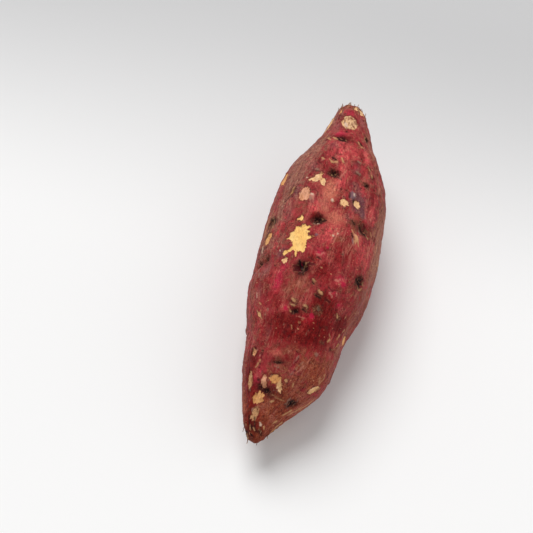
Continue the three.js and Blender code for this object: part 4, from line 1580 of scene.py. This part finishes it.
def geometry_tree(name, inputs):
    """An empty Geometry Nodes tree; returns its nodes, its input node and its output node."""
    tree = bpy.data.node_groups.new(name, "GeometryNodeTree")
    tree.interface.new_socket("Geometry", in_out="INPUT", socket_type="NodeSocketGeometry")
    tree.interface.new_socket("Geometry", in_out="OUTPUT", socket_type="NodeSocketGeometry")
    for socket, kind in inputs.items():
        tree.interface.new_socket(socket, in_out="INPUT", socket_type="NodeSocket" + kind)
    nodes = Nodes(tree)
    return nodes, nodes.add("NodeGroupInput").outputs, nodes.add("NodeGroupOutput").inputs


def apply_tree(source, tree, values, name):
    """Runs a tree on an object and leaves a plain mesh with that name in its place."""
    modifier = source.modifiers.new(name, "NODES")
    modifier.node_group = tree
    for item in tree.interface.items_tree:
        if item.in_out == "INPUT" and item.name in values:
            modifier[item.identifier] = values[item.name]
    evaluated = source.evaluated_get(bpy.context.evaluated_depsgraph_get())
    mesh = bpy.data.meshes.new_from_object(evaluated)
    source.modifiers.remove(modifier)
    if not mesh.polygons:
        raise RuntimeError(f"{name}: the tree gave no faces")
    mesh.name = name
    piece = bpy.data.objects.new(name, mesh)
    bpy.context.scene.collection.objects.link(piece)
    return piece


def close_tree(n, given, out, geometry):
    """Makes the geometry real, gives it the tree's material and sends it out."""
    real = n.add("GeometryNodeRealizeInstances", Geometry=geometry)
    done = n.add("GeometryNodeSetMaterial", Geometry=real.outputs[0], Material=given["Material"])
    n.feed(out["Geometry"], done.outputs[0])


def tube(n, curve, thickness, sides):
    """A closed tube round a curve, as thick at each point as the value says."""
    sized = n.add("GeometryNodeSetCurveRadius", Curve=curve, Radius=thickness)
    ring = n.add("GeometryNodeCurvePrimitiveCircle", Resolution=sides, Radius=1.0)
    made = n.add(
        "GeometryNodeCurveToMesh", Curve=sized.outputs[0], Profile_Curve=ring.outputs[0], Fill_Caps=True
    )
    if "Scale" in made.inputs:
        n.feed(made.inputs["Scale"], thickness)
    return made.outputs[0]


def strand_tree():
    """Turns centre lines into tapered, wavering strands."""
    n, given, out = geometry_tree(
        "Strands",
        {
            "Tip": "Float",
            "Steps": "Int",
            "Sides": "Int",
            "Waver": "Float",
            "Seed": "Float",
            "Material": "Material",
        },
    )
    line = n.add("GeometryNodeResampleCurve", Curve=given["Geometry"], Count=given["Steps"])
    share = n.add("GeometryNodeSplineParameter").outputs["Factor"]
    sway = n.add("ShaderNodeTexNoise", {"noise_dimensions": "4D"}, W=given["Seed"], Scale=420.0, Detail=2.0)
    centred = n.vector("SUBTRACT", sway.outputs["Color"], (0.5, 0.5, 0.5))
    offset = n.vector("SCALE", centred, n.times(n.times(share, 2.6), given["Waver"]))
    bent = n.add("GeometryNodeSetPosition", Geometry=line.outputs[0], Offset=offset)
    foot = n.add("GeometryNodeInputRadius").outputs[0]
    taper = n.add("ShaderNodeMix", {"data_type": "FLOAT"})
    n.feed(taper.inputs[0], n.math("POWER", share, 0.8))
    n.feed(taper.inputs[2], foot)
    n.feed(taper.inputs[3], n.times(given["Tip"], 0.5))
    rough = n.noise(n.add("GeometryNodeInputPosition").outputs[0], 900.0, 2.0)
    thick = n.times(taper.outputs[0], n.plus(rough, 0.5))
    strands = tube(n, bent.outputs[0], thick, given["Sides"])
    close_tree(n, given, out, n.add("GeometryNodeSetShadeSmooth", Geometry=strands).outputs[0])
    return n.tree


def scatter_tree(name, shape, lean):
    """Scatters one kind of small thing over the skin where a field says so."""
    n, given, out = geometry_tree(
        name,
        {
            "Skin": "Object",
            "Density": "Float",
            "Least": "Float",
            "Most": "Float",
            "Seed": "Int",
            "Material": "Material",
        },
    )
    skin = n.add("GeometryNodeObjectInfo", {"transform_space": "RELATIVE"}, Object=given["Skin"])
    where = n.add("GeometryNodeInputNamedAttribute", {"data_type": "FLOAT"}, Name="scatter").outputs[0]
    points = n.add(
        "GeometryNodeDistributePointsOnFaces",
        Mesh=skin.outputs["Geometry"],
        Density=n.math("MULTIPLY", given["Density"], where),
        Seed=given["Seed"],
    )
    turn = n.add("FunctionNodeRandomValue", {"data_type": "FLOAT_VECTOR"})
    turn.inputs[0].default_value = (-lean, -lean, -3.14)  # any way round
    turn.inputs[1].default_value = (lean, lean, 3.14)
    facing = n.add("FunctionNodeRotateRotation", {"rotation_space": "LOCAL"})
    n.feed(facing.inputs[0], points.outputs["Rotation"])
    n.feed(facing.inputs[1], turn.outputs[0])
    size = n.add("FunctionNodeRandomValue", {"data_type": "FLOAT"})
    n.feed(size.inputs[2], given["Least"])
    n.feed(size.inputs[3], given["Most"])
    placed = n.add(
        "GeometryNodeInstanceOnPoints",
        Points=points.outputs["Points"],
        Instance=shape(n),
        Rotation=facing.outputs[0],
        Scale=size.outputs[1],
    )
    close_tree(n, given, out, placed.outputs[0])
    return n.tree


def hair_shape(n):
    """A bent hair one unit long, standing on its foot."""
    line = n.add("GeometryNodeCurveQuadraticBezier", Resolution=6)
    stops = {"Start": (0, 0, -0.1), "Middle": (0.1, 0.25, 0.5), "End": (0.6, 0.1, 0.8)}
    for socket, place in stops.items():
        line.inputs[socket].default_value = place
    share = n.add("GeometryNodeSplineParameter").outputs["Factor"]
    return tube(n, line.outputs[0], n.step(share, 0.0, 1.0, 0.045, 0.012), 4)


def flake_shape(n):
    """A thin curled scrap one unit long."""
    sheet = n.add("GeometryNodeMeshGrid", Size_X=1.0, Size_Y=0.55, Vertices_X=5, Vertices_Y=4)
    place = n.add("GeometryNodeInputPosition").outputs[0]
    parts = n.add("ShaderNodeSeparateXYZ", Vector=place).outputs
    curl = n.times(n.times(parts[0], parts[0]), 0.9)
    tear = n.times(n.noise(place, 3.0, 2.0), 0.25)
    lift = n.add("ShaderNodeCombineXYZ", X=0.0, Y=tear, Z=curl).outputs[0]
    bent = n.add("GeometryNodeSetPosition", Geometry=sheet.outputs[0], Offset=lift)
    thick = n.add("GeometryNodeExtrudeMesh", Mesh=bent.outputs[0], Offset_Scale=0.06, Individual=False)
    back = n.add("GeometryNodeFlipFaces", Mesh=bent.outputs[0])
    both = n.add("GeometryNodeJoinGeometry")
    n.tree.links.new(thick.outputs[0], both.inputs[0])
    n.tree.links.new(back.outputs[0], both.inputs[0])
    return n.add("GeometryNodeMergeByDistance", Geometry=both.outputs[0], Distance=0.001).outputs[0]


def crumb_shape(n):
    """A rough grain about one unit across."""
    ball = n.add("GeometryNodeMeshIcoSphere", Radius=0.5, Subdivisions=1)
    place = n.add("GeometryNodeInputPosition").outputs[0]
    depth = n.math("SUBTRACT", n.times(n.noise(place, 2.2, 2.0), 0.8), 0.4)
    dent = n.vector("SCALE", n.add("GeometryNodeInputNormal").outputs[0], depth)
    return n.add("GeometryNodeSetPosition", Geometry=ball.outputs[0], Offset=dent).outputs[0]


def finish_piece(piece):
    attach(piece, BODY)
    print(piece.name, "triangles", sum(len(p.vertices) - 2 for p in piece.data.polygons))


def lines_object(name, lines):
    """A curve object of centre lines in mm: each has its points and its foot thickness."""
    data = bpy.data.curves.new(name, "CURVE")
    data.dimensions = "3D"
    for stops, foot in lines:
        spline = data.splines.new("POLY")
        spline.points.add(len(stops) - 1)
        for point, stop in zip(spline.points, stops):
            point.co = (*(np.asarray(stop) * MM), 1)
            point.radius = foot / 2 * MM
    made = bpy.data.objects.new(name, data)
    bpy.context.scene.collection.objects.link(made)
    return made


def strand_line(form, along, around, lean, length, foot, curl, sink=0.0):
    """Centre line of a strand on the skin that leans along it and curls over sideways."""
    middle, up, across, lengthwise = form.place(along, around)
    middle = middle - up * sink - (0, 0, form.drop)
    heading = unit(up + lengthwise * lean)
    stops = [
        middle - heading * STRAND_FOOT,
        middle + heading * 0.35 * length,
        middle + heading * 0.7 * length + across * 0.35 * curl,
        middle + heading * length + across * curl,
    ]
    knots = [2 * stops[0] - stops[1], *stops, 2 * stops[3] - stops[2]]
    line = []
    for share in np.linspace(0, 1, STRAND_STOPS):
        i = min(int(share * 3), 2)
        line.append(through(knots[i : i + 4], share * 3 - i))
    return line, foot


def stem_lines(form):
    return [
        strand_line(
            form,
            LENGTH - spread(i, 0.8, 5.0),
            360 * i / STEM_FIBRES + spread(i, -9, 9),
            spread(2 * i + 1, 1.2, 3.2),
            spread(3 * i + 2, 1.2, 2.6),
            spread(i + 5, 0.4, 0.75),
            spread(4 * i + 1, -0.4, 0.4),
        )
        for i in range(STEM_FIBRES)
    ] + [strand_line(form, *place, 1.1, 1.9, 1.5, 0.3) for place in STEM_SPIKES]


def root_lines(form):
    lines = [strand_line(form, 1.2, 150, -1.2, 3.0, 2.6, -0.6)]
    for i in range(ROOT_FIBRES):
        lines.append(
            strand_line(
                form,
                spread(i, 1.5, 7),
                60 + 360 * i / ROOT_FIBRES,
                spread(2 * i, -2.6, -0.8),
                spread(3 * i + 1, 1.2, 2.6),
                spread(i + 2, 0.3, 0.55),
                spread(4 * i + 3, -0.7, 0.7),
            )
        )
    return lines


def eye_lines(form):
    eyes = all_eyes()
    lines = []
    for i, number in enumerate(STUBBED_EYES):
        along, around, _, depth, *_ = eyes[number]
        lines.append(
            strand_line(
                form,
                along,
                around,
                spread(i, -0.5, 0.5),
                0.7 * depth + spread(2 * i + 1, 0.0, 0.3),
                0.6,
                spread(i + 4, -0.2, 0.2),
                sink=depth,
            )
        )
    return lines


class SWEETPOTATO_OT_skin(bpy.types.Operator):
    """Grow the root's skin over the solid"""

    bl_idname = "sweetpotato.skin"
    bl_label = "Grow Skin"

    def execute(self, context):
        look = context.scene.sweetpotato_skin
        skin = Skin(look)
        piece = skin.build("skin")
        piece.data.materials.append(skin_material(look))
        finish_piece(piece)
        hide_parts(NODE)
        SWEETPOTATO_OT_skin.grown = skin
        return {"FINISHED"}


class SWEETPOTATO_OT_strands(bpy.types.Operator):
    """Set the torn fibres at the stem end, the stub at the root tip and the fine roots' stubs"""

    bl_idname = "sweetpotato.strands"
    bl_label = "Set Fibres and Rootlets"

    def execute(self, context):
        look = context.scene.sweetpotato_fibres
        form = SWEETPOTATO_OT_skin.grown.form
        tree, material = strand_tree(), fibre_material(look)
        for seed, (name, lines) in enumerate(
            {"stem_fibres": stem_lines, "root_fibres": root_lines, "eye_rootlets": eye_lines}.items()
        ):
            source = lines_object(name + "_lines", lines(form))
            values = {
                "Tip": look.tip,
                "Steps": look.steps,
                "Sides": look.sides,
                "Waver": look.waver,
                "Seed": float(seed),
                "Material": material,
            }
            piece = apply_tree(source, tree, values, name)
            bpy.data.objects.remove(source)
            finish_piece(piece)
        return {"FINISHED"}


def scatter(name, shape, kind, density, material, field):
    """Scatters one kind of small thing over the skin as a piece, thick where the field is 1."""
    least, most, lean, seed = kind
    skin = bpy.data.objects["skin"]
    write_field(skin.data, "scatter", field)
    carrier = bpy.data.objects.new(name + "_carrier", bpy.data.meshes.new(name + "_carrier"))
    bpy.context.scene.collection.objects.link(carrier)
    bpy.context.view_layer.update()
    values = {
        "Skin": skin,
        "Density": density,
        "Least": least * MM,
        "Most": most * MM,
        "Seed": seed,
        "Material": material,
    }
    piece = apply_tree(carrier, scatter_tree(name, shape, lean), values, name)
    bpy.data.objects.remove(carrier)
    skin.data.attributes.remove(skin.data.attributes["scatter"])
    finish_piece(piece)


class SWEETPOTATO_OT_hairs(bpy.types.Operator):
    """Scatter the finest root hairs at both ends"""

    bl_idname = "sweetpotato.hairs"
    bl_label = "Scatter Fine Hairs"

    def execute(self, context):
        look = context.scene.sweetpotato_fibres
        skin = SWEETPOTATO_OT_skin.grown
        ends = smooth(-skin.along, -8, -1) + 0.35 * smooth(skin.along, LENGTH - 3, LENGTH - 0.5)
        scatter("fine_hairs", hair_shape, HAIRS, look.hairs, bpy.data.materials["Dry fibre"], ends)
        return {"FINISHED"}


class SWEETPOTATO_OT_flakes(bpy.types.Operator):
    """Scatter loose flakes of skin along the torn edges of the scraped patches"""

    bl_idname = "sweetpotato.flakes"
    bl_label = "Scatter Loose Flakes"

    def execute(self, context):
        look = context.scene.sweetpotato_fibres
        skin = SWEETPOTATO_OT_skin.grown
        edge = np.exp(-(((skin.fields["patch"] + 0.15) / 0.3) ** 2))
        scatter("skin_flakes", flake_shape, FLAKES, look.flakes, flake_material(), edge)
        return {"FINISHED"}


class SWEETPOTATO_OT_crumbs(bpy.types.Operator):
    """Scatter crumbs of dry soil in the eyes"""

    bl_idname = "sweetpotato.crumbs"
    bl_label = "Scatter Soil Crumbs"

    def execute(self, context):
        look = context.scene.sweetpotato_fibres
        skin = SWEETPOTATO_OT_skin.grown
        dark = skin.fields["eye_dark"]
        pit = smooth(skin.fields["eye"], 0.1, 0.7) * dark * (dark < 1.15)
        scatter("soil_crumbs", crumb_shape, CRUMBS, look.crumbs, soil_material(), pit)
        return {"FINISHED"}


def soft_sun(name, towards, softness, strength):
    """Even light from one side of a tent; softness is the width of the source in degrees."""
    data = bpy.data.lights.new(name, "SUN")
    data.angle, data.energy = math.radians(softness), strength
    lamp = bpy.data.objects.new(name, data)
    bpy.context.scene.collection.objects.link(lamp)
    lamp.rotation_euler = Vector(towards).to_track_quat("Z", "Y").to_euler()


class SWEETPOTATO_OT_stage(bpy.types.Operator):
    """Lay the pale floor and set the soft lights and the camera"""

    bl_idname = "sweetpotato.stage"
    bl_label = "Set Stage"

    def execute(self, context):
        look = context.scene.sweetpotato_stage
        scene = context.scene
        mesh = bpy.data.meshes.new("floor")
        corners = [(x * FLOOR_HALF, y * FLOOR_HALF, 0) for x, y in ((-1, -1), (1, -1), (1, 1), (-1, 1))]
        mesh.from_pydata(corners, [], [(0, 1, 2, 3)])
        mesh.materials.append(floor_material(look))
        floor = bpy.data.objects.new("floor", mesh)
        scene.collection.objects.link(floor)

        for name, light in LIGHTS.items():
            soft_sun(name, *light)
        world = scene.world or bpy.data.worlds.new("World")
        scene.world = world
        world.use_nodes = True
        sky = world.node_tree.nodes["Background"]
        sky.inputs["Color"].default_value = SKY_COLOUR
        sky.inputs["Strength"].default_value = SKY_STRENGTH

        camera = bpy.data.objects.new("camera", bpy.data.cameras.new("camera"))
        scene.collection.objects.link(camera)
        camera.data.lens, camera.data.sensor_width = look.lens, SENSOR_WIDTH
        camera.data.clip_start = 0.01
        back = Vector(
            (
                math.sin(look.azimuth) * math.cos(look.elevation),
                -math.cos(look.azimuth) * math.cos(look.elevation),
                math.sin(look.elevation),
            )
        )
        camera.location = Vector(AIM) * MM + back * look.distance
        camera.rotation_euler = back.to_track_quat("Z", "Y").to_euler()
        scene.camera = camera
        scene.view_settings.view_transform = "Standard"
        return {"FINISHED"}


class SWEETPOTATO_PT_panel(bpy.types.Panel):
    bl_label = "Sweet Potato"
    bl_idname = "SWEETPOTATO_PT_panel"
    bl_space_type = "VIEW_3D"
    bl_region_type = "UI"
    bl_category = "Sweet Potato"

    def draw(self, context):
        for operator in OPERATORS:
            self.layout.operator(operator.bl_idname)
        for group in ("sweetpotato_skin", "sweetpotato_fibres", "sweetpotato_stage"):
            box = self.layout.box()
            settings = getattr(context.scene, group)
            for name in settings.__annotations__:
                box.prop(settings, name)


OPERATORS = (
    SWEETPOTATO_OT_skin,
    SWEETPOTATO_OT_strands,
    SWEETPOTATO_OT_hairs,
    SWEETPOTATO_OT_flakes,
    SWEETPOTATO_OT_crumbs,
    SWEETPOTATO_OT_stage,
)
SETTINGS = {
    "sweetpotato_skin": SweetPotatoSkin,
    "sweetpotato_fibres": SweetPotatoFibres,
    "sweetpotato_stage": SweetPotatoStage,
}


def register():
    for kind in (*SETTINGS.values(), *OPERATORS, SWEETPOTATO_PT_panel):
        bpy.utils.register_class(kind)
    for name, kind in SETTINGS.items():
        setattr(bpy.types.Scene, name, PointerProperty(type=kind))


def unregister():
    for name in SETTINGS:
        delattr(bpy.types.Scene, name)
    for kind in reversed((*SETTINGS.values(), *OPERATORS, SWEETPOTATO_PT_panel)):
        bpy.utils.unregister_class(kind)


def main():
    register()
    bpy.ops.sweetpotato.skin()
    bpy.ops.sweetpotato.strands()
    bpy.ops.sweetpotato.hairs()
    bpy.ops.sweetpotato.flakes()
    bpy.ops.sweetpotato.crumbs()
    bpy.ops.sweetpotato.stage()


if __name__ == "__main__":
    main()
